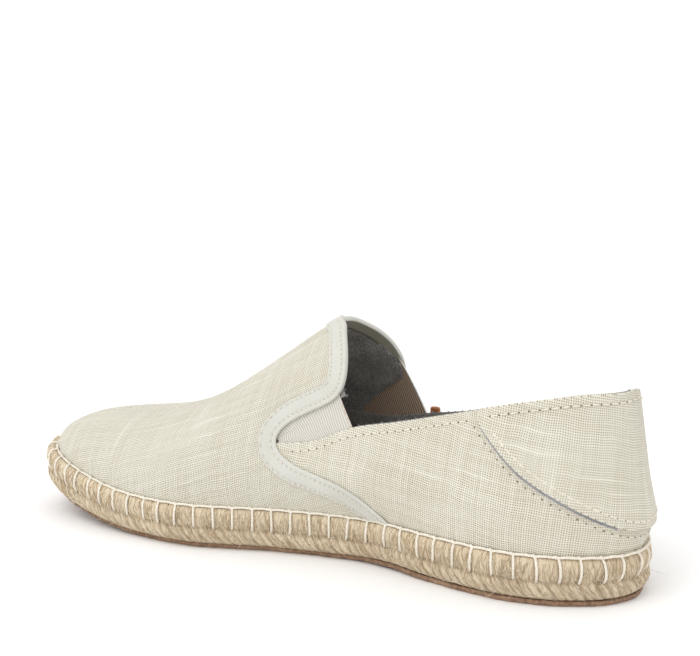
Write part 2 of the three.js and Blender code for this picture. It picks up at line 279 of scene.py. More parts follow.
# station, ridge x, ridge z, roundness of the section, inner swell, outer swell
last_rows = [(45, 0, 148, 2.4, 3.5, 3.5), (80, 0, 130.5, 2.4, 4, 3.5), (110, -3, 112, 2.3, 8, 4),
             (137, -4, 100.2, 2.2, 7, 4), (165, -4, 82, 2.1, 5, 4), (195, -5, 62.6, 2.1, 3, 3),
             (220, -4, 52.6, 2, 2, 2), (248, 0, 47.6, 1.92, 1.5, 1.5)]
ridge_toe_start, ridge_toe_reach = 205.0, 43.0
ridge_heel_start, ridge_heel_reach = 90.0, 45.0
# station, how far the seam between cloth and rope lies inside the rope's outline
feather_rows = [(0, 0.6), (45, 2), (215, 2), (250, 3.2), (291, 4.8)]
swell_height, swell_fade = 22.0, 90.0
heel_swell_reach = 45.0
# height over the seam, how far the back of the heel stands out
heel_swell_rows = [(0, -0.6), (4, 0.9), (8, 1.5), (12, 1.5), (20, 0), (30, -1.4), (45, -2.5),
                   (60, -2.9), (140, -3.5)]


# %% The last as a function
def rows_at(rows, column, at):
    """Smooth value of one column of a table, whose first column is the place."""
    table = np.asarray(rows, float)
    keys, values = table[:, 0], table[:, column]
    last = len(keys) - 1
    before = np.maximum(np.arange(last + 1) - 1, 0)
    after = np.minimum(np.arange(last + 1) + 1, last)
    slopes = (values[after] - values[before]) / (keys[after] - keys[before])
    at = np.clip(at, keys[0], keys[-1])
    i = np.clip(np.searchsorted(keys, at) - 1, 0, last - 1)
    span = keys[i + 1] - keys[i]
    t = (at - keys[i]) / span
    rise = t * t * (3 - 2 * t)
    bend = slopes[i] * span * t * (1 - t) ** 2 - slopes[i + 1] * span * t * t * (1 - t)
    return values[i] * (1 - rise) + values[i + 1] * rise + bend


def side_and_share(place):
    turn = np.mod(place, 1.0)
    inner = turn <= 0.5
    return np.where(inner, 1.0, -1.0), np.where(inner, 2 * turn, 2 - 2 * turn)


def station_of(share):
    return sole_length / 2 * (1 - np.cos(np.pi * share))


def rounded_ends(station):
    heel = np.clip(1 - station / heel_rounding[0], 0, 1)
    toe = np.clip((station - sole_length + toe_rounding[0]) / toe_rounding[0], 0, 1)
    heel_part = (1 - heel ** heel_rounding[1]) ** (1 / heel_rounding[1])
    return heel_part * (1 - toe ** toe_rounding[1]) ** (1 / toe_rounding[1])


def outline_point(place):
    side, share = side_and_share(place)
    station = station_of(share)
    half = rows_at(outline_rows, 2, station) * rounded_ends(station)
    return rows_at(outline_rows, 1, station) + side * half, station


def outline_at(place, out):
    """The outline moved outwards: x, station, and the outward direction of both."""
    step = 2e-4
    ahead, behind = outline_point(place + step), outline_point(place - step)
    along_x, along_s = ahead[0] - behind[0], ahead[1] - behind[1]
    length = np.hypot(along_x, along_s)
    out_x, out_s = along_s / length, -along_x / length
    x, station = outline_point(place)
    return x + out_x * out, station + out_s * out, out_x, out_s


def feather_inset(place):
    return rows_at(feather_rows, 1, station_of(side_and_share(place)[1]))


def spring_at(station):
    return spring_rise * (np.maximum(station - spring_start, 0) / (sole_length - spring_start)) ** 2


def ground_at(station):
    t = np.clip((station - arch_start) / (arch_end - arch_start), 0, 1)
    return spring_at(station) + arch_rise * np.sin(np.pi * t) ** 2


def rope_top_at(station):
    slope = (rope_top_at_toe - rope_top_at_heel) / sole_length
    return rope_top_at_heel + slope * station + spring_at(station)


def ridge_station(station):
    past_toe = np.maximum(station - ridge_toe_start, 0) / ridge_toe_reach
    past_heel = np.maximum(ridge_heel_start - station, 0) / ridge_heel_reach
    inside = np.clip(station, ridge_heel_start, ridge_toe_start)
    return (inside + ridge_toe_reach * (1 - np.exp(-past_toe))
            - ridge_heel_reach * (1 - np.exp(-past_heel)))


def swell_at(side, station, ridge, height):
    rising = np.sin(np.pi / 2 * np.clip(height / swell_height, 0, 1))
    fading = np.clip(1 - (height - swell_height) / swell_fade, 0, 1)
    share = np.where(height > swell_height, fading, rising)
    walls = np.where(side > 0, rows_at(last_rows, 4, ridge), rows_at(last_rows, 5, ridge)) * share
    to_back = np.clip(1 - station / heel_swell_reach, 0, 1) ** 1.5
    return walls * (1 - to_back) + rows_at(heel_swell_rows, 1, height) * to_back


def last_point(place, climb):
    place, climb = np.broadcast_arrays(np.asarray(place, float), np.asarray(climb, float))
    side, share = side_and_share(place)
    station = station_of(share)
    feather_x, feather_s, out_x, out_s = outline_at(place, -feather_inset(place))
    ridge = ridge_station(station)
    power = 2 / rows_at(last_rows, 3, ridge)
    outwards = np.cos(climb * np.pi / 2) ** power
    upwards = np.sin(climb * np.pi / 2) ** power
    ridge_x = rows_at(last_rows, 1, ridge)
    low = rope_top_at(feather_s) + clearance
    height = (rows_at(last_rows, 2, ridge) - low) * upwards
    swell = swell_at(side, station, ridge, height)
    x = ridge_x + (feather_x - ridge_x) * outwards + out_x * swell
    along = ridge + (feather_s - ridge) * outwards + out_s * swell
    return np.stack([x, heel_end_y - along, low + height], -1)


def slopes_at(place, climb, step=5e-4):
    """How the surface runs round the shoe and up it, as two vectors."""
    high, low = np.clip(climb + step, 0, 1), np.clip(climb - step, 0, 1)
    around = (last_point(place + step, climb) - last_point(place - step, climb)) / (2 * step)
    upward = (last_point(place, high) - last_point(place, low)) / (high - low)[..., None]
    return around, upward


def unit(vectors):
    return vectors / np.maximum(np.linalg.norm(vectors, axis=-1, keepdims=True), 1e-9)


def skin(place, climb, offset=0.0):
    """Point of the surface moved out along its normal, kept over the rope."""
    place, climb, offset = np.broadcast_arrays(place, climb, offset)
    around, upward = slopes_at(place, climb)
    point = last_point(place, climb) + unit(np.cross(upward, around)) * offset[..., None]
    point[..., 2] = np.maximum(point[..., 2], rope_top_at(heel_end_y - point[..., 1]) + clearance)
    return point


def settle(points, place, climb, rounds=8):
    """Finds the place and climb of the surface that is nearest to each point."""
    for _ in range(rounds):
        around, upward = slopes_at(place, climb)
        miss = points - last_point(place, climb)
        aa, uu = (around * around).sum(-1), (upward * upward).sum(-1)
        au = (around * upward).sum(-1)
        ma, mu = (miss * around).sum(-1), (miss * upward).sum(-1)
        scale = np.maximum(aa * uu - au * au, 1e-6)
        place = place + np.clip((ma * uu - mu * au) / scale, -0.02, 0.02)
        climb = np.clip(climb + np.clip((mu * aa - ma * au) / scale, -0.05, 0.05), 0, 1)
    return place, climb


print("instep ridge, mm:", np.round(last_point(0.25, 1.0), 1))

# %% [markdown]
# ## Pattern lines
# The cloth pieces are cut along a few lines that are easiest to draw from the side: the
# edge of the vamp, the top line and the front edge of the heel layer. Each row gives the
# inner side's Y and Z, then the outer side's. A smooth curve goes through the rows.

# %% Lines drawn from the side
vamp_edge_rows = [(2, 112, 2, 112), (3.5, 104, 3.5, 104), (5.5, 101, 4.6, 99.6),
                  (13.5, 99.9, 6.7, 97.3), (16.6, 96.6, 9.3, 94.2), (20.2, 88.5, 14, 89.6),
                  (21.6, 80, 18.3, 83.6), (20.4, 73.2, 21, 76), (16.2, 68.6, 20.2, 69),
                  (6.5, 63.4, 12, 62.6), (-2, 58.4, 1, 56.4), (-6.8, 52.6, -5.6, 50.6),
                  (-5.6, 46.8, -5.2, 44.6), (2, 41.6, 2, 39.6), (12.5, 38.2, 12.5, 36.4),
                  (23.2, 34.7, 23.2, 33.2), (33, 29.2, 33, 28.4), (43.5, 20, 43.5, 20),
                  (49, 14, 49, 14)]
gore_top_row = 7.4
notch_row = 11.6
top_line_rows = [(-7.5, 49.4, -6.6, 47.3), (9.4, 51.8, 10, 46.6), (27, 59, 31, 50.6),
                 (48.5, 64, 47, 53.4), (74, 70, 74, 60.2), (100.5, 76.6, 100.5, 67.6),
                 (122, 80, 122, 73.6), (137, 80, 137, 79.2), (158, 80, 158, 80)]
gore_back_row = 2.0
panel_edge_rows = [(81, 80, 81, 74), (85.2, 72, 85.2, 66.5), (90.6, 65.4, 91, 60.4),
                   (103.4, 53, 103.8, 49.8), (119.4, 42.7, 119.6, 41), (135, 34, 135, 33.6),
                   (145, 29.6, 145, 29.6), (158, 27, 158, 27)]
# The felt inside the vamp stops short of the tape at the throat and reaches over the gore.
felt_edge_rows = [(-2, 112, -4, 112), (0, 104, -3, 104), (2, 100.5, -1, 99),
                  (9, 98.5, 1.5, 96.5), (13, 95, 4.5, 93), (17, 87, 9.5, 88),
                  (18.5, 80, 14, 81.5), (20.5, 74, 19.5, 74), (21.5, 70, 19.5, 68.5),
                  (12, 66, 13, 63), (2, 61, 6, 58), (-4, 55, 0, 52), (-8, 48, -5, 46),
                  (-8, 14, -5, 14)]


def side_curve(rows, side, start=0.0, end=None, count=200):
    """Points (Y, Z) of the smooth curve through one side's rows."""
    knots = np.asarray(rows, float)[:, (0, 1) if side > 0 else (2, 3)]
    last = len(knots) - 1
    at = np.linspace(start, last if end is None else end, count)
    i = np.clip(at.astype(int), 0, last - 1)
    t = (at - i)[:, None]
    p0, p1, p2 = knots[np.maximum(i - 1, 0)], knots[i], knots[i + 1]
    p3 = knots[np.minimum(i + 2, last)]
    v0, v1 = (p2 - p0) / 2, (p3 - p1) / 2
    return ((2 * p1 - 2 * p2 + v0 + v1) * t**3 + (-3 * p1 + 3 * p2 - 2 * v0 - v1) * t**2
            + v0 * t + p1)


def y_on(rows, side, z):
    """Y of a falling line at a height."""
    line = side_curve(rows, side)[::-1]
    return np.interp(z, line[:, 1], line[:, 0])


def z_on(rows, side, y):
    """Height of a line at a Y."""
    line = side_curve(rows, side)
    return np.interp(y, line[:, 0], line[:, 1])


def halve(low, high, past, rounds=34):
    """Where past() turns from False to True between low and high, by halving."""
    low, high = np.array(low, float), np.array(high, float)
    for _ in range(rounds):
        middle = (low + high) / 2
        beyond = past(middle)
        low, high = np.where(beyond, low, middle), np.where(beyond, middle, high)
    return (low + high) / 2


def place_of(side, share):
    """Signed place: above 0 on the inner side, below 0 on the outer side."""
    return side * share / 2


def edge_place(rows, side, climb):
    """Place at which a falling line crosses each climb."""
    def past(share):
        point = last_point(place_of(side, share), climb)
        return point[..., 1] < y_on(rows, side, point[..., 2])

    climb = np.asarray(climb, float)
    return place_of(side, halve(np.full(climb.shape, 0.2), np.ones(climb.shape), past))


def climb_to(rows, place, lift=0.0):
    """Climb at which a line is crossed going straight up the shoe at each place."""
    place = np.asarray(place, float)
    side = side_and_share(place)[0]

    def past(climb):
        point = last_point(place, climb)
        inner, outer = z_on(rows, 1, point[..., 1]), z_on(rows, -1, point[..., 1])
        return point[..., 2] > np.where(side > 0, inner, outer) + lift

    return halve(np.zeros(place.shape), np.ones(place.shape), past)


def seen_from_side(side, spots):
    """Place and climb of surface points that are drawn at (Y, Z) in the side view."""
    shares, climbs = np.meshgrid(np.linspace(0.02, 0.98, 90), np.linspace(0, 0.98, 60))
    known = last_point(place_of(side, shares), climbs)[..., 1:].reshape(-1, 2)
    flat = spots.reshape(-1, 2)
    gap = ((flat[:, None] - known[None]) ** 2).sum(-1).argmin(1)
    place, climb = place_of(side, shares.ravel()[gap]), climbs.ravel()[gap]
    for _ in range(10):
        around, upward = slopes_at(place, climb)
        miss = flat - last_point(place, climb)[:, 1:]
        cross = around[:, 1] * upward[:, 2] - around[:, 2] * upward[:, 1]
        cross = np.where(np.abs(cross) < 1e-3, 1e-3, cross)
        place = place + np.clip((miss[:, 0] * upward[:, 2] - miss[:, 1] * upward[:, 1]) / cross,
                                -0.02, 0.02)
        rise = (miss[:, 1] * around[:, 1] - miss[:, 0] * around[:, 2]) / cross
        climb = np.clip(climb + np.clip(rise, -0.05, 0.05), 0, 1)
    return place.reshape(spots.shape[:-1]), climb.reshape(spots.shape[:-1])


def smooth_step(value, low, high):
    t = np.clip((value - low) / (high - low), 0, 1)
    return t * t * (3 - 2 * t)


print("vamp edge on the ridge, place:", np.round(edge_place(vamp_edge_rows, 1, [1.0]), 4))

# %% [markdown]
# ## From points to pieces
# Three makers are enough for the whole shoe. `cloth` closes two grids of points, a face and
# a back, into one piece with a rounded rim, like a cut and turned edge. `bundle` makes many
# threads at once, each a thin tube along a path, round or twisted from plies. `sweep` drags
# one closed section along a path, for tape and other profiles.

# %% Makers of meshes
def grid_faces(rows, columns, first=0, wrap=False):
    """Quads between the points of a grid whose columns may close on themselves."""
    row, column = np.meshgrid(np.arange(rows - 1), np.arange(columns - (not wrap)), indexing="ij")
    after = (column + 1) % columns
    a, b = first + row * columns + column, first + row * columns + after
    return np.stack([a, b, b + columns, a + columns], -1).reshape(-1, 4).tolist()


def make_piece(name, points, faces, finish, slot, values=None, weld=1e-4):
    """Mesh object from points in mm. values holds numbers that the finish reads."""
    mesh = bpy.data.meshes.new(name)
    mesh.from_pydata((np.asarray(points).reshape(-1, 3) * 0.001).tolist(), [], faces)
    for key, numbers in (values or {}).items():
        layer = mesh.attributes.new(key, "FLOAT", "POINT")
        layer.data.foreach_set("value", np.asarray(numbers, np.float32).ravel())
    shape = bmesh.new()
    shape.from_mesh(mesh)
    if weld:
        bmesh.ops.remove_doubles(shape, verts=shape.verts, dist=weld * 0.001)
    bmesh.ops.recalc_face_normals(shape, faces=shape.faces)
    shape.to_mesh(mesh)
    shape.free()
    mesh.shade_smooth()
    mesh.materials.append(finish)
    made = bpy.data.objects.new(name, mesh)
    scene.collection.objects.link(made)
    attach(made, "root")
    print(f"{name}: {len(mesh.vertices)} points, {len(mesh.polygons)} faces")
    return made


def rim_path(rows, columns, closed_top):
    """Border of a grid in order, and for each border point its neighbour inwards."""
    low = [(0, j) for j in range(columns)]
    right = [(i, columns - 1) for i in range(1, rows)]
    left = [(i, 0) for i in range(rows - 1, 0, -1)]
    top = [] if closed_top else [(rows - 1, j) for j in range(columns - 2, 0, -1)]
    path = left + low + right + top
    inner = [(min(max(i, 1), rows - 1 if closed_top else rows - 2), min(max(j, 1), columns - 2))
             for i, j in path]
    return path, inner


def cloth(name, face, back, finish, slot, values=None, closed_top=False, rim_steps=3):
    """Closed piece between a face grid and a back grid, with a rounded rim."""
    rows, columns = face.shape[:2]
    path, inner = rim_path(rows, columns, closed_top)
    p, q = np.array(path).T, np.array(inner).T
    middle = (face + back) / 2
    half = (face - back)[p[0], p[1]] / 2
    outward = middle[p[0], p[1]] - middle[q[0], q[1]]
    across = unit(half)
    outward = unit(outward - (outward * across).sum(-1, keepdims=True) * across)
    reach = np.linalg.norm(half, axis=-1, keepdims=True)
    rings = [middle[p[0], p[1]] + half * math.cos(turn) + outward * reach * math.sin(turn)
             for turn in np.linspace(0, math.pi, rim_steps + 2)]
    count = rows * columns
    points = np.concatenate([face.reshape(-1, 3), back.reshape(-1, 3), *rings])
    faces = grid_faces(rows, columns) + [f[::-1] for f in grid_faces(rows, columns, count)]
    faces += grid_faces(len(rings), len(path), 2 * count, wrap=not closed_top)
    carried = {}
    for key, numbers in (values or {}).items():
        rim = numbers[p[0], p[1]]
        carried[key] = np.concatenate([numbers.ravel(), numbers.ravel(), *[rim] * len(rings)])
    return make_piece(name, points, faces, finish, slot, carried)


def bundle(paths, radius, ups, sides=6, twist=0.0, plies=0.0):
    """Tubes along many paths with the same number of points. ups is off each path's way."""
    paths = np.asarray(paths, float)
    many, steps = paths.shape[:2]
    along = unit(np.gradient(paths, axis=1))
    beside = unit(np.cross(along, ups))
    above = np.cross(beside, along)
    lengths = np.linalg.norm(np.diff(paths, axis=1), axis=-1).cumsum(1)
    run = np.concatenate([np.zeros((many, 1)), lengths], 1)[..., None]
    turn = np.linspace(0, 2 * np.pi, sides, endpoint=False)
    ring = np.broadcast_to(np.asarray(radius, float), (many, steps))[..., None]
    ring = ring * (1 + plies * np.cos(2 * (turn - twist * run)))
    points = (paths[:, :, None] + above[:, :, None] * (ring * np.cos(turn))[..., None]
              + beside[:, :, None] * (ring * np.sin(turn))[..., None])
    one = grid_faces(steps, sides, wrap=True)
    one += [list(range(sides))[::-1], [(steps - 1) * sides + k for k in range(sides)]]
    faces = [[v + k * steps * sides for v in f] for k in range(many) for f in one]
    return points.reshape(-1, 3), faces


def sweep(sections):
    """Closed tube through sections (steps, points of the section, 3), with flat ends."""
    steps, count = sections.shape[:2]
    faces = grid_faces(steps, count, wrap=True)
    faces += [list(range(count))[::-1], [(steps - 1) * count + k for k in range(count)]]
    return sections.reshape(-1, 3), faces


def evenly(path, pitch, *others):
    """Resamples a path and its companion values at an even pitch."""
    run = np.concatenate([[0], np.linalg.norm(np.diff(path, axis=0), axis=1).cumsum()])
    count = max(int(round(run[-1] / pitch)), 2)
    at = np.linspace(0, run[-1], count + 1)
    return [at] + [np.interp(at, run, other) for other in others]


print("makers ready: cloth, bundle, sweep")

# %% [markdown]
# ## Finishes for cloth, felt and elastic
# Linen is a plain weave, so it is drawn as one: the two cloth coordinates that each piece
# carries, in mm, are folded into threads, and a checkerboard decides which thread is on
# top. The gaps between threads get painted shade. Thick slubs come from a noise that is
# stretched along single threads. Felt has no threads, only tangled fibre, and gets layered
# noise. The elastic's ribs are real geometry; its finish adds the fine knit between them
# and paints shade into the grooves between the ribs, lighter on the crests.

# %% Linen
thread_pitch = 0.94
linen_light, linen_deep = colour(224, 222, 210), colour(208, 203, 185)
# The brown between the threads is painted shade in the weave's gaps.
linen_gap_shade = colour(128, 104, 70)


def linen(name, light=linen_light, deep=linen_deep, gap_shade_tone=linen_gap_shade):
    finish = Finish(name)
    along, up = finish.carried("along"), finish.carried("up")
    spot = finish.vector(along, up)
    sway = finish.noise(spot, 0.05, 1.0) - 0.5
    drift = finish.noise(spot, 0.083, 1.0) - 0.5
    across = (along + sway * 2.2) / thread_pitch
    over = (up + drift * 2.2) / thread_pitch
    column, row = across.floor(), over.floor()
    in_column, in_row = across.fraction() - 0.5, over.fraction() - 0.5
    swap = ((column + row) * 0.5).fraction() * 4.0 - 1.0
    warp_noise = finish.noise(finish.vector(column * 5.3, up * 0.022), 1.0, 1.0)
    weft_noise = finish.noise(finish.vector(along * 0.022, row * 5.3, 7.0), 1.0, 1.0)
    warp_slub, weft_slub = warp_noise.smooth(0.70, 0.78), weft_noise.smooth(0.69, 0.77)
    warp_half = warp_noise * 0.16 + 0.31 + warp_slub * 0.08
    weft_half = weft_noise * 0.16 + 0.31 + weft_slub * 0.08
    warp = (1 - (in_column / warp_half).math("POWER", 2.0)).larger(0.0)
    weft = (1 - (in_row / weft_half).math("POWER", 2.0)).larger(0.0)
    warp = warp * (0.7 + swap * (in_row * math.pi).wave() * 0.3)
    weft = weft * (0.7 - swap * (in_column * math.pi).wave() * 0.3)
    height = warp.larger(weft)
    worn = finish.noise(spot, 0.02, 3.0).smooth(0.35, 0.65)
    tone = (warp_noise + weft_noise) * 0.6 - 0.12 + worn * 0.1 + (warp_slub + weft_slub) * 0.2
    thread = finish.blend(tone.smooth(0.0, 1.0), deep, light)
    # Where no thread lies on top, the colour turns to the painted shade of the gap.
    gap = 1 - height.smooth(0.10, 0.48)
    cloth_tone = finish.blend(gap * 0.95, thread, gap_shade_tone)
    fuzz = finish.noise(spot, 3.0, 2.0)
    return finish.surface(cloth_tone, 0.92 - height * 0.08, height + fuzz * 0.25, 0.16,
                          Sheen_Weight=0.15, Specular_IOR_Level=0.25)


vamp_linen = linen("vamp_linen")
heel_linen = linen("heel_linen", colour(227, 224, 211), colour(208, 203, 185))
print("linen threads per cm:", round(10 / thread_pitch, 1))


# %% Felt, elastic and tape
def felt(name, dark, light, fleck):
    finish = Finish(name)
    spot = finish.node("TexCoord", out="Object")
    tangle = finish.noise(spot, 900.0, 4.0)
    patch = finish.noise(spot, 90.0, 3.0)
    base = finish.blend((tangle * 0.6 + patch * 0.4).smooth(0.3, 0.7), dark, light)
    flecks = finish.noise(spot, 2100.0, 2.0).smooth(0.66, 0.76)
    return finish.surface(finish.blend(flecks * 0.6, base, fleck), 1.0, tangle, 0.5,
                          Sheen_Weight=0.2, Specular_IOR_Level=0.1)


dark_felt = felt("dark_felt", colour(112, 109, 105), colour(158, 154, 149), colour(182, 183, 190))
pale_felt = felt("pale_felt", colour(126, 126, 130), colour(164, 164, 168), colour(206, 207, 212))

ribs = Finish("ribbed_elastic")
rib_along, rib_up, inside = ribs.carried("along"), ribs.carried("up"), ribs.carried("inside")
rib_pitch = 1.05
crest = (rib_along * (2 * math.pi / rib_pitch)).wave() * 0.5 + 0.5
knit = (rib_up * (2 * math.pi / 0.62)).wave() * 0.5 + 0.5
# Both faces are painted darker in the grooves between the ribs and lighter on their crests: painted shade
# that follows the real ribs.
outer_yarn_rib_shaded = ribs.blend(crest, colour(186, 181, 171), colour(222, 219, 212))
inner_yarn_rib_shaded = ribs.blend(crest, colour(122, 100, 82), colour(196, 174, 152))
rib_tone = ribs.blend(inside.above(0.6), outer_yarn_rib_shaded, inner_yarn_rib_shaded)
ribbed = ribs.surface(rib_tone, 0.75, crest * 0.4 + knit * 0.3 * crest, 0.15,
                      Specular_IOR_Level=0.3)

tape = Finish("binding_tape")
tape_spot = tape.node("TexCoord", out="Object")
suede = tape.noise(tape_spot, 1500.0, 3.0)
smudge = tape.noise(tape_spot, 60.0, 2.0)
tape_base = tape.blend((suede * 0.5 + smudge * 0.5).smooth(0.3, 0.7),
                       colour(198, 197, 188), colour(210, 209, 202))
# The tape's turned-in leg and back get a darker, greener tone: painted shade inside the throat.
tape_turned_shade = tape.blend(suede, colour(142, 139, 122), colour(172, 169, 152))
tape_tone = tape.blend(tape.carried("turned"), tape_base, tape_turned_shade)
# The tape is painted darker at each stitch dent: painted shade in the dents.
tape_tone = tape.blend(tape.carried("hole") * 0.6, tape_tone, colour(132, 124, 110))
taped = tape.surface(tape_tone, 0.72, suede, 0.06, Specular_IOR_Level=0.35)

yarn = Finish("cotton_thread")
ply = yarn.noise(yarn.node("TexCoord", out="Object"), 1600.0, 2.0)
yarn_tone = yarn.blend(ply.smooth(0.3, 0.7), colour(220, 211, 193), colour(242, 236, 223))
cotton = yarn.surface(yarn_tone, 0.8, ply, 0.1, Sheen_Weight=0.2)

pit = Finish("needle_hole")
pit_noise = pit.noise(pit.node("TexCoord", out="Object"), 800.0)
# The needle holes are dark brown: painted shade inside the holes.
hole_shade_tone = pit.blend(pit_noise, colour(96, 80, 60), colour(134, 116, 92))
hole_shade_finish = pit.surface(hole_shade_tone, 1.0)
print("finishes so far:", len(bpy.data.materials))

# %% [markdown]
# ## Stitch count and creases
# The blanket stitch fixes a rhythm for the whole sole: the rope bulges between two stitches
# and the cloth puckers at each one. So the outline is measured first. Creases are soft
# troughs, each a line in the side view with a width and a depth.

# %% Arc length of the outline and the creases
arc_places = np.linspace(0, 1, 6001)
arc_x, arc_s, _, _ = outline_at(arc_places, 0.0)
arc_lengths = np.concatenate([[0], np.hypot(np.diff(arc_x), np.diff(arc_s)).cumsum()])
girth = arc_lengths[-1]
stitch_count = int(round(girth / 8.7))
stitch_pitch = girth / stitch_count


def arc_of(place):
    return np.interp(np.mod(place, 1.0), arc_places, arc_lengths)


def place_at(arc):
    return np.interp(np.mod(arc, girth), arc_lengths, arc_places)


# side, from Y Z, to Y Z, half width, depth
creases = [(1, -28, 78, 2, 58, 5.0, 0.5), (1, -60, 52, -22, 40, 6.0, 0.5),
           (-1, -30, 76, 0, 57, 5.0, 0.6), (-1, -62, 50, -24, 38, 6.0, 0.6),
           (1, -78, 50, -86, 26, 6.0, 0.35), (-1, -80, 48, -88, 26, 6.0, 0.4),
           (1, 20, 44, 46, 52, 4.5, 0.45), (1, 52, 30, 78, 36, 5.0, 0.4),
           (-1, 16, 40, 46, 46, 4.5, 0.5), (-1, 58, 30, 84, 34, 5.0, 0.4),
           (1, -14, 36, 14, 27, 4.0, 0.45), (-1, -14, 35, 14, 27, 4.0, 0.45),
           (1, 100, 36, 128, 28, 4.0, 0.3), (-1, 100, 36, 128, 28, 4.0, 0.3)]
pucker_depth, pucker_height = 0.32, 5.0


def folds(place, climb):
    """How far the cloth lies under the plain surface, in mm."""
    point = last_point(place, climb)
    sink = np.zeros(point.shape[:-1])
    for side, y0, z0, y1, z1, width, depth in creases:
        way = np.array([y1 - y0, z1 - z0], float)
        from_start = point[..., 1:] - (y0, z0)
        along = np.clip((from_start @ way) / (way @ way), 0, 1)
        gap = np.linalg.norm(from_start - along[..., None] * way, axis=-1)
        on_side = smooth_step(side * (point[..., 0] + 4), 0, 14)
        sink += depth * np.exp(-((gap / width) ** 2)) * np.sin(np.pi * (0.1 + 0.8 * along)) * on_side
    height = point[..., 2] - rope_top_at(heel_end_y - point[..., 1])
    beat = np.cos(2 * np.pi * arc_of(place) / stitch_pitch)
    return sink + pucker_depth * beat * np.exp(-height / pucker_height)


print("stitches round the sole:", stitch_count, "pitch, mm:", round(stitch_pitch, 2))

# %% [markdown]
# ## Vamp
# The vamp is one piece of linen from the inner waist round the toe to the outer waist. It
# could be a sculpted solid, but a grid whose rows run round the shoe keeps its edge exact
# and its thickness even. Both halves meet on the instep ridge, where the grid is welded.

# %% Build the vamp and its felt
vamp_face, cloth_thickness = 0.2, 0.8
hem_depth = 1.3


def with_hem(grid):
    """Adds a row below the first, tucked behind the top of the rope."""
    hem = grid[:1] - (0, 0, hem_depth)
    return np.concatenate([hem, grid])


def hem_row(values):
    return np.concatenate([values[:1], values])


def front_grid(edge_rows, row_count, half_columns, set_back=0.0):
    """Places and climbs from one edge round the toe to the other."""
    climbs = np.linspace(0, 1, row_count)
    share = np.linspace(0, 1, half_columns)
    inner = edge_place(edge_rows, 1, climbs)[:, None] + set_back
    outer = 1 + edge_place(edge_rows, -1, climbs)[:, None] - set_back
    places = np.concatenate([inner + (0.5 - inner) * share,
                             (0.5 + (outer - 0.5) * share)[:, 1:]], 1)
    return places, np.broadcast_to(climbs[:, None], places.shape)


def join_on_ridge(grid):
    grid[-1] = (grid[-1] + grid[-1][::-1]) / 2
    return grid


def instep_cloth(places, climbs, points):
    """Thread coordinates of a flat cloth pulled over the front of the shoe."""
    heights = climbs[:, 0]
    y_line = np.linspace(-148, 62, 260)
    middle = last_point(np.full(heights.shape, 0.5), heights)
    order = np.argsort(middle[:, 1])
    girths = []
    for side in (1, -1):
        shares = np.linspace(1, 0.15, 240)
        lines = last_point(place_of(side, shares)[None], heights[:, None])
        section = np.empty((len(heights), len(y_line), 2))
        for k, line in enumerate(lines):
            for axis, column in ((0, 0), (1, 2)):
                on_line = np.interp(y_line, line[:, 1], line[:, column])
                toe = np.interp(y_line, middle[order, 1], middle[order, column])
                section[k, :, axis] = np.where(y_line < middle[k, 1], toe, on_line)
        steps = np.linalg.norm(np.diff(section, axis=0), axis=-1)
        down = np.concatenate([steps[::-1].cumsum(0)[::-1], np.zeros((1, len(y_line)))])
        girths.append(np.array([np.interp(points[k, :, 1], y_line, down[k])
                                for k in range(len(heights))]))
    side = side_and_share(places)[0]
    ridge = last_point(np.linspace(0.5, 0.15, 200), 1.0)
    run = np.concatenate([[0], np.linalg.norm(np.diff(ridge, axis=0), axis=1).cumsum()])
    y_from = points[..., 1] - ridge[0, 1]
    along = np.where(y_from > 0, np.interp(points[..., 1], ridge[:, 1], run), y_from)
    return along, np.where(side > 0, girths[0], -girths[1])


vamp_places, vamp_climbs = front_grid(vamp_edge_rows, 64, 92, 0.0022)
vamp_sink = folds(vamp_places, vamp_climbs)
vamp_face_grid = skin(vamp_places, vamp_climbs, vamp_face - vamp_sink)
vamp_back_grid = skin(vamp_places, vamp_climbs, vamp_face - cloth_thickness - vamp_sink)
vamp_along, vamp_up = instep_cloth(vamp_places, vamp_climbs, vamp_face_grid)
vamp_values = {"along": hem_row(vamp_along), "up": hem_row(vamp_up)}
vamp = cloth("linen_vamp", with_hem(join_on_ridge(vamp_face_grid)),
             with_hem(join_on_ridge(vamp_back_grid)), vamp_linen, "linen", vamp_values,
             closed_top=True)
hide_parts("upper")

felt_places, felt_climbs = front_grid(felt_edge_rows, 40, 60)
felt_spots = last_point(felt_places, felt_climbs)
behind_gore = smooth_step(felt_spots[..., 2], 38, 52) * (1 - smooth_step(felt_spots[..., 2], 79, 85))
felt_face = -0.65 - 1.0 * behind_gore
felt_outer = join_on_ridge(skin(felt_places, felt_climbs, felt_face))
felt_inner = join_on_ridge(skin(felt_places, felt_climbs, felt_face - 0.55))
cloth("vamp_lining", felt_outer, felt_inner, dark_felt, "insole_cloth", closed_top=True)

# %% [markdown]
# ## Quarter
# The quarter wraps the heel from waist to waist. It runs a little way under the vamp and
# stops at the top line. Its columns lean forward near the rope, where the vamp's edge does.

# %% Build the quarter and its felt
quarter_face, quarter_thickness = -0.15, 0.65
quarter_front_y = -16.0


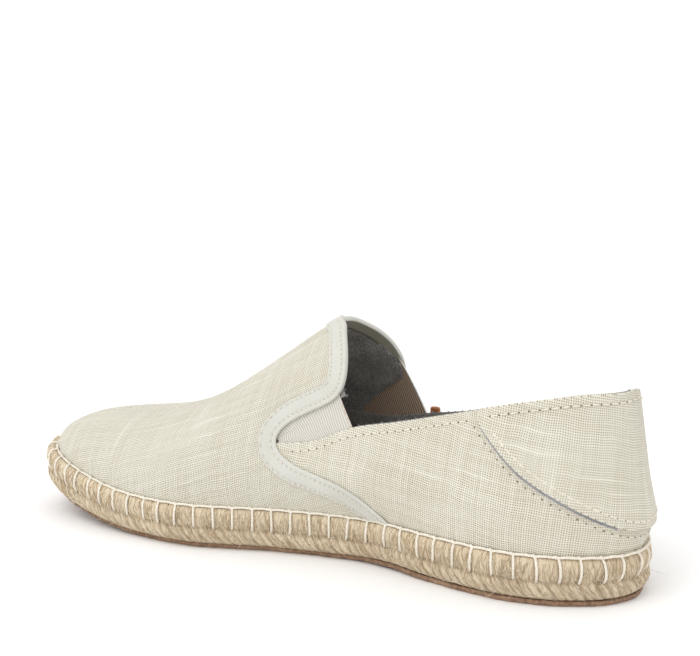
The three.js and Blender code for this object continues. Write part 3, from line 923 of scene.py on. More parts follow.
def back_grid(row_count, column_count, lift, front_y, reach):
    """Places and climbs from the outer waist round the heel to the inner waist."""
    ends = []
    for side in (-1, 1):
        def past(share):
            place = place_of(side, share)
            return last_point(place, climb_to(top_line_rows, place))[..., 1] < front_y

        top_place = place_of(side, halve([0.2], [0.8], past))[0]
        top_climb = climb_to(top_line_rows, [top_place])[0]
        shares = np.linspace(0, 1, row_count)
        on_edge = edge_place(vamp_edge_rows, side, shares * top_climb)
        blend = smooth_step(shares, 0.6, 1.0)
        under = on_edge + side * reach
        ends.append(under * (1 - blend) + top_place * blend)
    outer, inner = ends[0][:, None], ends[1][:, None]
    columns = np.linspace(0, 1, column_count)
    places = outer + (inner - outer) * columns
    top = climb_to(top_line_rows, places[-1], lift + collar_lift(places[-1]))
    return places, np.linspace(0, 1, row_count)[:, None] * top


def collar_lift(place):
    """How far the soft collar stands over its pattern line, in mm: the outer side sags."""
    side, share = side_and_share(place)
    to_heel = 1 - smooth_step(station_of(share), 60, 105)
    outer_arc = np.where(side < 0, girth - arc_of(place), 0.0)
    return to_heel * (1.2 - 2.9 * smooth_step(outer_arc, 0, 22))


quarter_places, quarter_climbs = back_grid(48, 190, 0.0, quarter_front_y, 0.012)
quarter_sink = folds(quarter_places, quarter_climbs)
quarter_outer = skin(quarter_places, quarter_climbs, quarter_face - quarter_sink)
quarter_inner = skin(quarter_places, quarter_climbs,
                     quarter_face - quarter_thickness - quarter_sink)


def heel_cloth(places, points, lean=0.0):
    """Thread coordinates of a cloth wrapped round the heel, turned by a small angle."""
    signed = np.where(np.mod(places, 1) > 0.5, arc_of(places) - girth, arc_of(places))
    up = points[..., 2] - rope_top_at(heel_end_y - points[..., 1])
    turn = np.tanh(signed / 12) * lean
    return signed * np.cos(turn) - up * np.sin(turn), up * np.cos(turn) + signed * np.sin(turn)


quarter_along, quarter_up = heel_cloth(quarter_places, quarter_outer, -0.12)
quarter = cloth("linen_quarter", with_hem(quarter_outer), with_hem(quarter_inner), heel_linen,
                "linen", {"along": hem_row(quarter_along), "up": hem_row(quarter_up)})
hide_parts("upper")

lining_places, lining_climbs = back_grid(30, 120, 0.25, -14.0, 0.008)
lining_spots = last_point(lining_places, lining_climbs)
lining_face = -0.86 - 0.75 * (1 - smooth_step(lining_spots[..., 1], 30, 42))
cloth("quarter_lining", skin(lining_places, lining_climbs, lining_face),
      skin(lining_places, lining_climbs, lining_face - 0.75), dark_felt, "insole_cloth")

# %% [markdown]
# ## Elastic gores
# Each gore fills the notch between vamp and quarter. Its ribs run with the free edge, and
# they are real ridges in the mesh, because they catch the light. It reaches under both
# neighbours, where it is sewn in.

# %% Build the gores
gore_face, gore_thickness = -0.85, 0.6
gore_tuck = 3.5
rib_depth = 0.13


def gore(side, name, node):
    steps, rows = 170, 18
    top = side_curve(vamp_edge_rows, side, notch_row, gore_top_row, steps)
    low = side_curve(top_line_rows, side, 0.12, gore_back_row, steps)
    share = np.linspace(-gore_tuck / 18, 1 + gore_tuck / 18, rows)[:, None, None]
    lean = (1 - np.linspace(0, 1, steps) ** 0.5)[None, :, None] * gore_tuck
    spots = low + (top - low) * share + np.where(share < 0.5, -lean, lean) * np.array([0, 0.5])
    place, climb = seen_from_side(side, spots)
    flat = last_point(place, climb)
    from_free = np.linalg.norm(np.diff(flat[:, ::-1], axis=1), axis=-1).cumsum(1)
    from_free = np.concatenate([np.zeros((rows, 1)), from_free], 1)[:, ::-1]
    from_free = np.broadcast_to(from_free[rows // 2], from_free.shape)
    across = np.broadcast_to(np.linspace(0, 1, rows)[:, None] * 20, from_free.shape)
    rib = rib_depth * np.cos(2 * np.pi * from_free / rib_pitch)
    face = skin(place, climb, gore_face + rib)
    back = skin(place, climb, gore_face - gore_thickness - rib)
    made = cloth(name, face, back, ribbed, "elastic",
                 {"along": from_free, "up": across, "inside": np.zeros(face.shape[:2])})
    mark_inside(made, face.shape[0] * face.shape[1])
    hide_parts(node)


def mark_inside(piece, face_count):
    """The second half of a cloth piece's points is its back."""
    layer = piece.data.attributes["inside"]
    marks = np.zeros(len(layer.data), np.float32)
    marks[face_count:2 * face_count] = 1.0
    layer.data.foreach_set("value", marks)


gore(1, "elastic_medial", "gore_medial")
gore(-1, "elastic_lateral", "gore_lateral")

# %% [markdown]
# ## Walking beside a line
# Tape and stitch rows keep a fixed distance from an edge, measured on the curved cloth. So
# a path on the surface is stepped sideways a little at a time, and after each step the
# point is put back on the surface.

# %% Step sideways on the surface
def surface_frame(place, climb):
    """Position, way along the path, outward normal and the way to the path's right."""
    spot = last_point(place, climb)
    around, upward = slopes_at(place, climb)
    normal = unit(np.cross(upward, around))
    along = unit(np.gradient(spot, axis=0))
    return spot, along, normal, unit(np.cross(normal, along))


def beside(place, climb, distances):
    """Places and climbs at rising distances to the right of a path, a column for each."""
    spot, _, _, right = surface_frame(place, climb)
    places, climbs, here = [], [], 0.0
    for distance in distances:
        steps = max(int(abs(distance - here) / 2.0), 1)
        for reach in np.linspace(here, distance, steps + 1)[1:]:
            place, climb = settle(spot + right * reach, place, climb, 4)
        here = distance
        places.append(place)
        climbs.append(climb)
    return np.stack(places, 1), np.stack(climbs, 1)


def even_path(place, climb, pitch):
    """The same path with points an even distance apart."""
    spot = last_point(place, climb)
    wrapped = np.unwrap(place * 2 * np.pi) / (2 * np.pi)
    run, place, climb = evenly(spot, pitch, wrapped, climb)
    return run, place, climb


# %% [markdown]
# ## Binding tape
# One strip of soft tape runs from the rope on the inner side, up round the gore, over the
# throat and down again. It is swept as a closed section that follows the cloth under it,
# and it folds over the edge. Two rows of stitches pull it down into small dents.

# %% Build the tape
tape_width = 8.0
tape_inset = 0.5
tape_lift = 0.8
tape_rows = (1.7, 6.7)
tape_stitch = 2.25
tape_step = 0.55
throat_leg, throat_depth = 6.2, 1.35
gore_depth, quarter_depth = 0.72, 0.12

edge_samples = 240
rising = np.linspace(0.0, 1.0, edge_samples)
inner_edge = edge_place(vamp_edge_rows, 1, rising)
outer_edge = 1 + edge_place(vamp_edge_rows, -1, rising)
crossed = np.concatenate([inner_edge, outer_edge[::-1][1:]])
edge_climb = np.concatenate([rising, rising[::-1][1:]])
edge_spots = last_point(crossed, edge_climb)
run, edge_climb_even, edge_side = evenly(edge_spots, tape_step, edge_climb,
                                         np.where(np.arange(len(crossed)) < edge_samples,
                                                  1.0, -1.0))
edge_rising = np.interp(run, np.linspace(0, run[-1], len(run)), edge_climb_even)
edge_side = np.where(edge_side > 0, 1, -1)
edge_place_even = np.where(edge_side > 0,
                           np.interp(edge_rising, rising, inner_edge),
                           np.interp(edge_rising, rising, outer_edge))
set_in = beside(edge_place_even, edge_rising, [tape_inset])
edge_place_even, edge_rising = set_in[0][:, 0], set_in[1][:, 0]
edge_spot, _, edge_normal, edge_right = surface_frame(edge_place_even, edge_rising)


def rising_place(side, climb):
    """Place of the tape's own edge at a climb."""
    on_side = np.flatnonzero(edge_side == side)
    order = on_side[np.argsort(edge_rising[on_side])]
    return np.interp(climb, edge_rising[order], edge_place_even[order])


levels = np.array([0, 0.25, 0.7, 1.05, 1.35, 1.7, 2.05, 2.4, 3.0, 3.9, 4.8, 5.7, 6.3, 6.7,
                   7.1, 7.45, 7.7, 7.9, tape_width])
level_places, level_climbs = beside(edge_place_even, edge_rising, levels[1:])
level_places = np.concatenate([edge_place_even[:, None], level_places], 1)
level_climbs = np.concatenate([edge_rising[:, None], level_climbs], 1)
near_ridge = level_climbs > 0.9
ridge_inner = np.maximum(level_places, rising_place(1, level_climbs))
ridge_outer = np.minimum(level_places, rising_place(-1, level_climbs))
level_places = np.where(near_ridge & (edge_side[:, None] > 0), ridge_inner,
                        np.where(near_ridge, ridge_outer, level_places))
crown = np.sqrt(np.clip((tape_width - levels) / 0.6, 0, 1))
pressed = [np.exp(-(((levels - row) / 0.45) ** 2)) for row in tape_rows]
beats = [np.exp(-(((np.mod(run + shift, tape_stitch) / tape_stitch - 0.5) * tape_stitch / 0.42)
                  ** 2)) for shift in (0.0, 0.9)]
dents = sum(beat[:, None] * press[None] for beat, press in zip(beats, pressed))
channel = sum(press for press in pressed)[None] * 0.12
tape_top = vamp_face + 0.05 + crown[None] * tape_lift - dents * 0.32 - channel
outer_face = skin(level_places, level_climbs, tape_top)
under_face = skin(level_places, level_climbs, vamp_face + 0.04)

height_here = edge_spot[:, 2]
gore_top = np.where(edge_side > 0, side_curve(vamp_edge_rows, 1, gore_top_row, None, 2)[0, 1],
                    side_curve(vamp_edge_rows, -1, gore_top_row, None, 2)[0, 1])
notch_z = np.where(edge_side > 0, vamp_edge_rows[11][1], vamp_edge_rows[11][3])
at_throat = smooth_step(height_here, gore_top + 0.5, gore_top + 5)
at_gore = smooth_step(height_here, notch_z - 3, notch_z + 2)
depth = quarter_depth + (gore_depth - quarter_depth) * at_gore
depth = (depth + (throat_depth - gore_depth) * at_throat)[:, None, None]
leg = (0.15 + 0.7 * at_gore + (throat_leg - 0.85) * at_throat)[:, None]
top_here = (vamp_face + 0.05 + tape_lift) * np.ones_like(depth)
roll_middle, roll_half = (top_here - depth) / 2, (top_here + depth) / 2
roll_turns = np.linspace(0.25, math.pi - 0.25, 6)[None, :, None]
fold = (edge_spot[:, None] + edge_normal[:, None] * (roll_middle + roll_half * np.cos(roll_turns))
        - edge_right[:, None] * (0.6 * np.sin(roll_turns)))
leg_shares = np.linspace(0.04, 1.0, 6)


def on_leg(offset, shares):
    reach = leg * shares
    places = np.array([np.interp(r, levels, p) for r, p in zip(reach, level_places)])
    climbs = np.array([np.interp(r, levels, c) for r, c in zip(reach, level_climbs)])
    return skin(places, climbs, offset)


leg_face = on_leg(-depth[..., 0], leg_shares)
leg_back = on_leg(-depth[..., 0] + 0.32, leg_shares[::-1])
sections = np.concatenate([outer_face[:, ::-1], fold, leg_face, leg_back, under_face], 1)

# The halves cross the ridge at slightly different places, so a smooth bridge joins them.
bridge_climb, bridge_reach = 0.965, 5
below_ridge = np.flatnonzero(edge_rising < bridge_climb)
before = below_ridge[edge_side[below_ridge] > 0][-1]
after = below_ridge[edge_side[below_ridge] < 0][0]
start_ring, end_ring = sections[before], sections[after]
chord = np.linalg.norm(end_ring - start_ring, axis=-1, keepdims=True)
start_way = unit(start_ring - sections[before - bridge_reach]) * chord
end_way = unit(sections[after + bridge_reach] - end_ring) * chord
t = np.linspace(0, 1, after - before + 1)[:, None, None]
sections[before:after + 1] = ((2 * t**3 - 3 * t**2 + 1) * start_ring
                              + (t**3 - 2 * t**2 + t) * start_way
                              + (3 * t**2 - 2 * t**3) * end_ring
                              + (t**3 - t**2) * end_way)
tape_points, tape_faces = sweep(sections)
# How strongly each point of the tape takes the painted shade of a stitch dent.
hole_shade_marks = np.zeros(sections.shape[:2])
hole_shade_marks[:, :len(levels)] = np.clip(dents[:, ::-1], 0, 1) ** 2
# Marks the turned-in leg and back of the tape, which the finish paints with the shade of the throat.
turned_shade_marks = np.zeros(sections.shape[:2])
turned_shade_marks[:, len(levels) + fold.shape[1]:] = 1.0
binding = make_piece("edge_tape", tape_points, tape_faces, taped, "binding_tape",
                     {"hole": hole_shade_marks, "turned": turned_shade_marks})
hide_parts("binding")
print("tape length, mm:", round(run[-1]))

# %% [markdown]
# ## Rows of stitches
# A machine stitch is a short thread that dives into the cloth at both ends, with a needle
# hole between two of them, drawn as a dark disc of painted shade. One maker lays any row
# along a path on the surface.

# %% Lay stitches along a path
thread_parts, hole_parts = [], []


def stitch_row(place, climb, offset, pitch, gap=0.9, radius=0.27, pits=True):
    run, place, climb = even_path(place, climb, pitch / 12)
    steps = 12
    count = (len(run) - 1) // steps
    length = pitch - gap
    paths = []
    spot = skin(place, climb, offset)
    _, along, normal, _ = surface_frame(place, climb)
    shares = np.linspace(0, 1, 7)
    arch = 0.24 * np.sin(np.pi * shares) ** 0.6 - 0.14
    for k in range(count):
        at = (k + 0.5) * pitch - length / 2 + length * shares
        path = np.stack([np.interp(at, run, spot[:, axis]) for axis in range(3)], -1)
        up = np.stack([np.interp(at, run, normal[:, axis]) for axis in range(3)], -1)
        paths.append((path + unit(up) * arch[:, None], unit(up)))
    thread_parts.append(bundle([p for p, _ in paths], radius, np.array([u for _, u in paths]),
                               sides=6, twist=2.6, plies=0.12))
    if not pits:
        return
    for k in range(count + 1):
        index = min(k * steps, len(run) - 1)
        hole_parts.append(needle_hole(spot[index], normal[index], along[index]))


def needle_hole(spot, normal, along):
    """A small sunken disc, oval along the row."""
    beside_it = np.cross(normal, along)
    turns = np.linspace(0, 2 * np.pi, 8, endpoint=False)
    ring = (spot + normal * 0.03 + along * (0.42 * np.cos(turns))[:, None]
            + beside_it * (0.3 * np.sin(turns))[:, None])
    points = np.concatenate([ring, [spot + normal * 0.16], [spot - normal * 0.2]])
    faces = [[k, (k + 1) % 8, 8] for k in range(8)] + [[(k + 1) % 8, k, 9] for k in range(8)]
    return points, faces


def joined(parts):
    points, faces, first = [], [], 0
    for some_points, some_faces in parts:
        points.append(some_points)
        faces += [[v + first for v in f] for f in some_faces]
        first += len(some_points)
    return np.concatenate(points), faces


panel_face = 1.75


def line_on_quarter(rows, lift, outer_y, inner_y, count=400):
    """A line of the side view as a path round the heel, from the outer side to the inner."""
    ends = []
    for side, y in ((-1, outer_y), (1, inner_y)):
        def past(share):
            place = place_of(side, share)
            return last_point(place, climb_to(rows, place, lift))[..., 1] < y

        ends.append(place_of(side, halve([0.02], [0.9], past))[0])
    places = np.linspace(ends[0], ends[1], count)
    return places, climb_to(rows, places, lift)


collar_drop = 3.4
for side, y_front, y_back in ((1, -1.0, 81.0), (-1, 0.0, 81.0)):
    row_place, row_climb = line_on_quarter(top_line_rows, -collar_drop, y_front, y_front)
    spots = last_point(row_place, row_climb)
    kept = (spots[:, 1] < y_back) & (np.sign(row_place) == side)
    row_climb = climb_to(top_line_rows, row_place, collar_lift(row_place) - collar_drop)
    stitch_row(row_place[kept], row_climb[kept], quarter_face + 0.05, 3.8)

panel_line = line_on_quarter(panel_edge_rows, 0.0, 86.0, 86.0)
for distance, offset, pitch, gap, radius in ((3.4, quarter_face + 0.05, 3.8, 1.5, 0.2),
                                             (-2.8, panel_face + 0.05, 3.6, 0.7, 0.3)):
    row_place, row_climb = [steps[:, 0] for steps in beside(*panel_line, [distance])]
    under_top = row_climb < climb_to(top_line_rows, row_place, -4.5)
    stitch_row(row_place[under_top], row_climb[under_top], offset, pitch, gap, radius)
top_row = line_on_quarter(top_line_rows, -collar_drop + 0.5, 91.0, 88.0)
top_row = top_row[0], climb_to(top_line_rows, top_row[0], collar_lift(top_row[0]) - collar_drop + 0.5)
stitch_row(*top_row, panel_face + 0.05, 3.8)
for row in tape_rows:
    index = int(np.argmin(np.abs(levels - row)))
    for side in (1, -1):
        on_side = np.flatnonzero(edge_side == side)
        on_side = on_side[4:-12] if side > 0 else on_side[12:-4]
        stitch_row(level_places[on_side, index], level_climbs[on_side, index],
                   vamp_face + 0.78, tape_stitch, 0.7, 0.13, pits=False)

make_piece("seam_stitches", *joined(thread_parts), cotton, "stitch_thread", weld=0)
# Dark discs at the needle holes carry the painted shade inside them.
make_piece("needle_holes", *joined(hole_parts), hole_shade_finish, "stitch_thread", weld=0)

# %% [markdown]
# ## Heel layer
# A second layer of the same linen wraps the heel. Its front edge is free: it stands a
# little off the quarter, and a strip of grey felt shows along the middle of the gap.

# %% Build the heel layer
panel_thickness = 1.1
panel_rise = 0.2
edge_ends = line_on_quarter(panel_edge_rows, 0.0, 89.2, 86.4, 5)[0]
panel_columns = np.linspace(edge_ends[0], edge_ends[-1], 170)
panel_low = climb_to(panel_edge_rows, panel_columns)
panel_top = climb_to(top_line_rows, panel_columns, collar_lift(panel_columns) + panel_rise)
panel_top = np.maximum(panel_top, panel_low + 0.004)
panel_climbs = panel_low + (panel_top - panel_low) * np.linspace(0, 1, 40)[:, None]
panel_places = np.broadcast_to(panel_columns, panel_climbs.shape)
panel_spots = last_point(panel_places, panel_climbs)
above_edge = np.linalg.norm(panel_spots - panel_spots[:1], axis=-1)
gape = 0.45 * np.exp(-above_edge / 5.0) * smooth_step(141 - panel_spots[..., 1], 0, 20)
at_front = smooth_step(panel_spots[..., 1], 83, 92)
panel_out = panel_face - 0.7 * (1 - at_front) + gape - 0.25 * smooth_step(above_edge, 6, 18)
panel_outer = skin(panel_places, panel_climbs, panel_out)
panel_inner = skin(panel_places, panel_climbs, panel_out - panel_thickness)
lean_along, lean_up = heel_cloth(panel_places, panel_outer, -0.16)
panel = cloth("heel_layer", panel_outer, panel_inner, heel_linen, "linen",
              {"along": lean_along + 0.4, "up": lean_up + 0.3}, rim_steps=5)
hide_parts("heel_panel")

facing_place, facing_climb = line_on_quarter(panel_edge_rows, 0.0, 87.0, 87.0, 260)
facing_spot = last_point(facing_place, facing_climb)
facing_run = smooth_step(facing_spot[:, 1], 87, 96) * smooth_step(141 - facing_spot[:, 1], 0, 28)
facing_widths = np.linspace(0, 1, 5)
facing_steps = beside(facing_place, facing_climb, [0.0, 0.35, 0.7, 1.05, 1.4])
facing_out = (quarter_face + 0.1 + (1.5 - 1.2 * facing_widths) * facing_run[:, None])
facing_top = skin(facing_steps[0], facing_steps[1], facing_out)
facing_low = skin(facing_steps[0], facing_steps[1], quarter_face - 0.2)
kept = facing_run > 0.02
for side, name in ((1, "panel_facing_medial"), (-1, "panel_facing_lateral")):
    part = kept & (np.sign(facing_place) == side)
    cloth(name, facing_top[part], facing_low[part], pale_felt, "insole_cloth")

# %% [markdown]
# ## Rope sole
# The sole is jute braid, coiled and stitched flat, so its side shows two bands: an upper
# band that bulges between the blanket stitches, and a lower band of slanting strands. Both
# are pushed into a fine grid round the outline. The mesh also records how deep each point
# lies, and the finish paints shade into the grooves with it. Hundreds of fibres are laid on top.

# %% Jute finishes
jute_light, jute_mid, jute_shade_tone = colour(230, 216, 191), colour(209, 190, 161), colour(172, 149, 118)
jute = Finish("braided_jute")
jute_along, jute_up = jute.carried("along"), jute.carried("up")
groove_shade_mask, slant = jute.carried("deep"), jute.carried("slant")
strand_spot = jute.vector(jute_along * 2.3, jute_up * 0.25)
lean_spot = jute.vector((jute_along + jute_up * 0.9) * 2.3, (jute_up - jute_along * 0.5) * 0.25)
upright_fibre = jute.noise(strand_spot, 1.0, 3.0)
leaning_fibre = jute.noise(lean_spot, 1.0, 3.0)
fibre = upright_fibre * (1 - slant) + leaning_fibre * slant
blotch = jute.noise(jute.vector(jute_along, jute_up), 0.07, 3.0).smooth(0.3, 0.7)
fibre_tone = (fibre.smooth(0.3, 0.7) * 0.7 + blotch * 0.3)
jute_tone = jute.blend(fibre_tone, jute_mid, jute_light)
# The grooves are darkened by how deep they lie: painted shade in the grooves.
jute_tone = jute.blend(groove_shade_mask, jute_tone, jute_shade_tone)
braided = jute.surface(jute_tone, 0.95, fibre, 0.55, Specular_IOR_Level=0.2)

straw = Finish("jute_fibre")
tint = straw.carried("tint")
straw_spread = straw.noise(straw.node("TexCoord", out="Object"), 500.0)
straw_ramp = straw.node("ValToRGB", {"stops": [(0.0, colour(172, 145, 112)),
                                               (0.45, colour(213, 194, 164)),
                                               (0.8, colour(235, 223, 201)),
                                               (1.0, colour(245, 240, 228))]},
                        {"Fac": tint * 0.9 + straw_spread * 0.1})
fibres = straw.surface(straw_ramp, 0.85, Specular_IOR_Level=0.3)

# %% Build the rope sole
# share of the side's height, distance out of the outline
rope_side_rows = [(0, -2.2), (0.1, -0.4), (0.28, 0.5), (0.46, -0.2), (0.7, 0.8), (0.9, 0.1), (1, -1.6)]
band_split = 0.44
strand_pitch, strand_depth = 3.9, 0.75
bulge_depth, strand_fine = 0.85, 0.28
columns_per_stitch = 15
rope_low_gap = outsole_thickness + clearance
rng = np.random.default_rng(42)


def rope_shape(arc, share):
    """How far the rope stands out at a place of its side, and how deep its grooves are."""
    beat = arc / stitch_pitch
    wander = 0.5 * np.sin(arc * 0.21) + 0.35 * np.sin(arc * 0.083 + 2) + 0.2 * np.sin(arc * 0.61)
    in_lower = smooth_step(band_split - share, -0.03, 0.06)
    rising = np.clip(share / band_split, 0, 1)
    strand = (arc * 1.0 - share * 11.0 + wander) / strand_pitch
    swell = 1 - np.abs(2 * (strand % 1) - 1) ** 2.2
    lower = strand_depth * (swell - 0.75) * np.sin(np.pi * np.clip(rising, 0.03, 0.97)) ** 0.5
    high = np.clip((share - band_split) / (1 - band_split), 0, 1)
    loop = np.abs(np.sin(np.pi * (beat + 0.06 * np.sin(3 * high))))
    upper = bulge_depth * (loop ** 0.55 - 0.8) * np.sin(np.pi * (0.12 + 0.8 * high)) ** 0.6
    yarn = (arc + 3.0 * (high - 0.45) ** 2 * np.sign(np.sin(2 * np.pi * beat)) + wander) / 1.55
    yarn_swell = 1 - np.abs(2 * (yarn % 1) - 1) ** 2
    upper = upper + strand_fine * (yarn_swell - 0.6)
    split = np.exp(-(((share - band_split) / 0.045) ** 2))
    out = lower * in_lower + upper * (1 - in_lower) - 0.4 * split
    out = out + 0.22 * np.sin(arc * 1.7 + 5 * share) * np.sin(arc * 0.37 + 9 * share)
    # deep is how far into a groove a point lies; the finish paints shade with it.
    deep = (in_lower * (1 - swell) ** 2 + (1 - in_lower) * ((1 - loop) ** 3 + 0.35 * (1 - yarn_swell) ** 2)
            + split * 0.35)
    return out, np.clip(deep, 0, 1)


def rope_point(arc, share, lift=0.0):
    """A point on the rope's side, lift mm proud of it."""
    place = place_at(arc)
    push, deep = rope_shape(arc, share)
    x, station, out_x, out_s = outline_at(place, 0.0)
    low = ground_at(station) + rope_low_gap
    out = rows_at(rope_side_rows, 1, share) + push * np.sin(np.pi * np.clip(share, 0.04, 0.96)) ** 0.35
    out = out + lift
    height = low + share * (rope_top_at(station) - low)
    return np.stack([x + out_x * out, heel_end_y - station - out_s * out, height], -1), deep


def cap_lines(ring, across, lift=0.0):
    """Fills a ring that runs heel, inner side, toe, outer side with lines across it."""
    count = len(ring)
    half = count // 2
    inner = ring[:half + 1]
    outer = ring[(count - np.arange(half + 1)) % count]
    share = np.linspace(0, 1, across + 1)[None, :, None]
    grid = inner[:, None] * (1 - share) + outer[:, None] * share
    crown = lift * (4 * share * (1 - share)) ** 0.5 * np.ones((half + 1, 1, 1))
    fade = np.sin(np.pi * np.linspace(0, 1, half + 1)) ** 0.3
    grid[..., 2:] += crown * fade[:, None, None]
    return grid


def closed_layer(rings, across, lifts=(0.0, 0.0)):
    """Points and faces of a layer: stacked rings with its bottom and top filled."""
    rings = np.asarray(rings)
    count = rings.shape[1]
    bottom, top = cap_lines(rings[0], across, lifts[0]), cap_lines(rings[-1], across, lifts[1])
    points = np.concatenate([rings.reshape(-1, 3), bottom.reshape(-1, 3), top.reshape(-1, 3)])
    faces = grid_faces(len(rings), count, wrap=True)
    first = rings.shape[0] * count
    size = bottom.shape[0] * (across + 1)
    faces += grid_faces(bottom.shape[0], across + 1, first)
    faces += grid_faces(bottom.shape[0], across + 1, first + size)
    return points, faces


column_count = stitch_count * columns_per_stitch // 2 * 2
rope_arcs = np.linspace(0, girth, column_count, endpoint=False)
side_shares = np.concatenate([np.linspace(0, 0.1, 3)[:-1], np.linspace(0.1, 1.0, 27)])
rings, rope_shade_depths, ups = [], [], []
for share in side_shares:
    ring, deep = rope_point(rope_arcs, np.full(column_count, share))
    rings.append(ring)
    rope_shade_depths.append(deep)
    ups.append(np.full(column_count, share * 17))
ledge_x, ledge_s, _, _ = outline_at(place_at(rope_arcs), -1.6 - feather_inset(place_at(rope_arcs)))
ledge_z = rope_top_at(ledge_s) - 1.2
rings.append(np.stack([ledge_x, heel_end_y - ledge_s, ledge_z], -1))
# The ledge tucked under the cloth's hem is fully deep, so it takes the darkest painted shade.
rope_shade_depths.append(np.ones(column_count))
ups.append(np.full(column_count, 20.0))
rope_points, rope_faces = closed_layer(rings, 6)
spare = len(rope_points) - len(rings) * column_count
side_arcs = np.tile(rope_arcs, len(rings))
slants = np.concatenate([np.full(column_count, float(s < band_split)) for s in side_shares]
                        + [np.zeros(column_count)])
rope_values = {"along": side_arcs, "up": np.concatenate(ups), "deep": np.concatenate(rope_shade_depths),
               "slant": slants}
rope_values = {key: np.concatenate([numbers, np.full(spare, numbers.mean())])
               for key, numbers in rope_values.items()}
rope = make_piece("rope_sole", rope_points, rope_faces, braided, "jute", rope_values)
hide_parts("jute_sole")


# %% Lay fibres on the rope
def fibre_bundle(name, count, length_range, radius_range, lift, spread, tints, low, high):
    steps = 6
    start = rng.uniform(0, girth, count)
    share = rng.uniform(low, high, count)
    leaning = share < band_split
    length = rng.uniform(*length_range, count)
    angle = np.where(leaning, 0.9, 1.35) + rng.normal(0, spread, count)
    way = rng.choice([-1, 1], count)
    angle = np.where(leaning, angle, np.where(way > 0, angle, math.pi - angle))
    run = np.linspace(-0.5, 0.5, steps)
    bend = rng.normal(0, 0.6, count)[:, None] * (run**2)[None]
    arc = start[:, None] + length[:, None] * run * np.cos(angle)[:, None] + bend
    rise = length[:, None] * run * np.sin(angle)[:, None] + bend * 0.5
    shares = np.clip(share[:, None] + rise / 17, 0.02, 0.99)
    proud = rng.uniform(*lift, count)[:, None] + 0.12 * np.sin(np.pi * (run + 0.5))
    points, _ = rope_point(arc.ravel(), shares.ravel(), proud.ravel())
    paths = points.reshape(count, steps, 3)
    centre = place_at(start)
    _, _, out_x, out_s = outline_at(centre, 0.0)
    ups = np.stack([out_x, -out_s, np.zeros(count)], -1)[:, None] * np.ones((1, steps, 1))
    radius = rng.uniform(*radius_range, count)[:, None] * np.sin(np.pi * (0.15 + 0.7 * (run + 0.5)))
    points, faces = bundle(paths, radius, ups, sides=3)
    tint = np.repeat(rng.uniform(*tints, count), steps * 3)
    return make_piece(name, points, faces, fibres, "jute", {"tint": tint}, weld=0)


fibre_bundle("rope_fibres", 4200, (4, 11), (0.10, 0.19), (0.0, 0.22), 0.16, (0.1, 0.95), 0.05, 0.95)

# %% [markdown]
# ## Loose ends
# Jute always sheds. A few pale hairs stand off the lower edge, all round the sole, and
# they are what tells the eye that the sole is rope and not plastic.

# %% Let some fibres stray
stray_count, stray_steps = 150, 8
stray_arc = rng.uniform(0, girth, stray_count)
stray_share = rng.uniform(0.0, 0.6, stray_count)
stray_start, _ = rope_point(stray_arc, stray_share)
_, _, out_x, out_s = outline_at(place_at(stray_arc), 0.0)
outward = np.stack([out_x, -out_s, np.zeros(stray_count)], -1)
tangent = np.stack([out_s, out_x, np.zeros(stray_count)], -1)
heading = (outward * rng.uniform(0.15, 0.7, stray_count)[:, None]
           + tangent * rng.normal(0, 0.8, stray_count)[:, None]
           + np.array([0, 0, 1]) * rng.normal(-0.3, 0.5, stray_count)[:, None])
curl = rng.normal(0, 0.35, (stray_count, 1, 3))
reach = np.linspace(0, 1, stray_steps)[None, :, None] * rng.uniform(3, 8, stray_count)[:, None, None]
stray_paths = stray_start[:, None] + unit(heading)[:, None] * reach + curl * reach**2 / 10
stray_paths[..., 2] = np.maximum(stray_paths[..., 2], 0.15)
thin = np.linspace(1, 0.3, stray_steps)[None] * rng.uniform(0.06, 0.11, stray_count)[:, None]
stray_points, stray_faces = bundle(stray_paths, thin, np.broadcast_to([0.3, 0.2, 1.0], stray_paths.shape),
                                   sides=3)
stray_tints = np.repeat(rng.uniform(0.6, 1.0, stray_count), stray_steps * 3)
make_piece("stray_fibres", stray_points, stray_faces, fibres, "jute", {"tint": stray_tints}, weld=0)

# %% [markdown]
# ## Blanket stitch
# A thick cotton yarn joins cloth to rope. It runs along the seam, and at every stitch a leg
# turns out over the rope's shoulder and goes down to a hole in the middle of the side.

# %% Sew the blanket stitch
yarn_radius = 0.55
leg_share = 0.42


def seam_point(arc, out, lift):
    """A point above the seam, out mm outside the cloth's foot."""
    place = place_at(arc)
    x, station, out_x, out_s = outline_at(place, out - feather_inset(place))
    return np.stack([x, heel_end_y - station, rope_top_at(station) + lift], -1)


